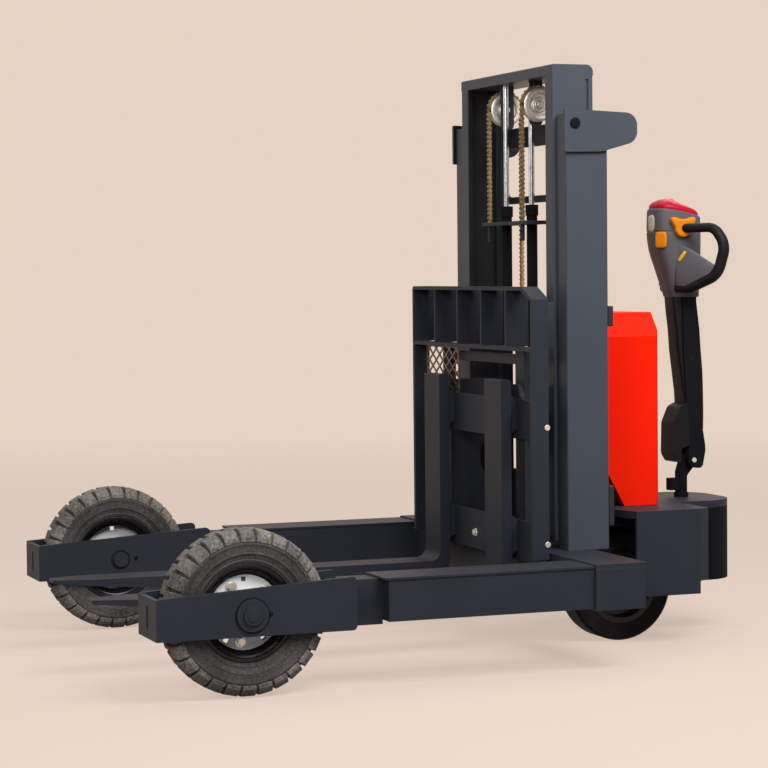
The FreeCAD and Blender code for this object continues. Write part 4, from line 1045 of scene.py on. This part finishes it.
def seamless_floor():
    """Pale floor that keeps the shadow near the machine and melts into the background."""
    material, tree, place = start("painted_studio_floor")
    away = add(tree, "ShaderNodeVectorMath", {0: place}, operation="LENGTH").outputs["Value"]
    grain = add(tree, "ShaderNodeTexNoise", {"Vector": place, "Scale": across(FLOOR_DRIFT), "Detail": 2.0})
    shown, by_eye = shown_rays(tree)
    pale = add(tree, "ShaderNodeMix", {
        SHARE: grain, FIRST: linear(BACKGROUND), SECOND: linear(FLOOR_SECOND)}, data_type="RGBA")
    bounced = add(tree, "ShaderNodeMix", {
        SHARE: by_eye, FIRST: linear(FLOOR_BOUNCE), SECOND: pale.outputs[MIXED]}, data_type="RGBA")
    lit = add(tree, "ShaderNodeBsdfDiffuse", {"Color": bounced.outputs[MIXED]})
    glow = add(tree, "ShaderNodeEmission", {"Color": linear(BACKGROUND), "Strength": 1.0})
    far = add(tree, "ShaderNodeMapRange", {
        "Value": away, "From Min": GLOW_FROM, "From Max": GLOW_TO, "To Min": NEAR_GLOW})
    share = add(tree, "ShaderNodeMath", {0: far, 1: shown}, operation="MULTIPLY")
    surface = add(tree, "ShaderNodeMixShader", {0: share, 1: lit, 2: glow})
    add(tree, "ShaderNodeOutputMaterial", {"Surface": surface})

    bm = bmesh.new()
    bmesh.ops.create_circle(bm, cap_ends=True, segments=96, radius=FLOOR_RADIUS)
    mesh = bpy.data.meshes.new("studio_floor")
    bm.to_mesh(mesh)
    bm.free()
    mesh.materials.append(material)
    floor = bpy.data.objects.new("studio_floor", mesh)
    floor.location = (0, 0, cad_low.z - 0.001)
    bpy.context.scene.collection.objects.link(floor)


def studio_air():
    """World that shows the background to the eye and to gloss, and lights evenly otherwise."""
    world = bpy.data.worlds.new("studio_air")
    world.use_nodes = True
    tree = world.node_tree
    tree.nodes.clear()
    shown = shown_rays(tree)[0]
    dim = add(tree, "ShaderNodeBackground", {"Color": linear(AIR_COLOUR), "Strength": AIR_STRENGTH})
    pale = add(tree, "ShaderNodeBackground", {"Color": linear(BACKGROUND), "Strength": 1.0})
    mixed = add(tree, "ShaderNodeMixShader", {0: shown, 1: dim, 2: pale})
    add(tree, "ShaderNodeOutputWorld", {"Surface": mixed})
    bpy.context.scene.world = world


# lamp, place and aim in metres, width and height in metres, watts, tint
MACHINE = (0.0, 0.0, 0.8)
LAMPS = (
    ("key_lamp", (-0.7, 2.6, 3.3), (-0.4, 0.3, 1.0), 2.6, 1.6, 155, "fbfbff"),
    ("camera_side_lamp", (3.0, 4.0, 2.6), (0.5, 0.4, 0.5), 1.8, 1.6, 95, "fffdf8"),
    ("top_lamp", (0.2, -0.6, 4.2), MACHINE, 3.0, 3.0, 45, "ffffff"),
    ("rear_lamp", (-3.4, -3.2, 4.4), MACHINE, 3.0, 2.0, 55, "ffffff"),
    ("front_lamp", (4.4, -2.6, 2.4), MACHINE, 2.6, 2.6, 30, "ffffff"),
)


def softbox(name, at, aim, width, height, watts, tint):
    """Rectangular area lamp at a point, turned towards another."""
    data = bpy.data.lights.new(name, "AREA")
    data.shape = "RECTANGLE"
    data.size = width
    data.size_y = height
    data.energy = watts
    data.color = linear(tint)[:3]
    lamp = bpy.data.objects.new(name, data)
    lamp.location = at
    lamp.rotation_euler = (Vector(aim) - Vector(at)).to_track_quat("-Z", "Y").to_euler()
    bpy.context.scene.collection.objects.link(lamp)


# Camera at the photograph's place: position in metres, turns in radians, lens on a 36 mm sensor

CAMERA_AT = Vector((2.451, 6.3411, 1.0392))
CAMERA_YAW = 0.3595
CAMERA_PITCH = 0.0467
CAMERA_ROLL = 0.010
CAMERA_LENS = 114.86


def photo_camera():
    """Camera that looks back at the machine from its left front, near the height of its mast."""
    yaw_sin, yaw_cos = math.sin(CAMERA_YAW), math.cos(CAMERA_YAW)
    pitch_sin, pitch_cos = math.sin(CAMERA_PITCH), math.cos(CAMERA_PITCH)
    roll_sin, roll_cos = math.sin(CAMERA_ROLL), math.cos(CAMERA_ROLL)
    ahead = -Vector((yaw_sin * pitch_cos, yaw_cos * pitch_cos, pitch_sin))
    level = Vector((-yaw_cos, yaw_sin, 0))
    sunk = ahead.cross(level)
    right = level * roll_cos + sunk * roll_sin
    down = sunk * roll_cos - level * roll_sin
    data = bpy.data.cameras.new("photo_camera")
    data.sensor_width = 36.0
    data.lens = CAMERA_LENS
    camera = bpy.data.objects.new("photo_camera", data)
    turn = Matrix((right, -down, -ahead)).transposed().to_4x4()
    camera.matrix_world = Matrix.Translation(CAMERA_AT) @ turn
    bpy.context.scene.collection.objects.link(camera)
    bpy.context.scene.camera = camera


seamless_floor()
studio_air()
for lamp in LAMPS:
    softbox(*lamp)
photo_camera()
bpy.context.scene.view_settings.view_transform = "Standard"
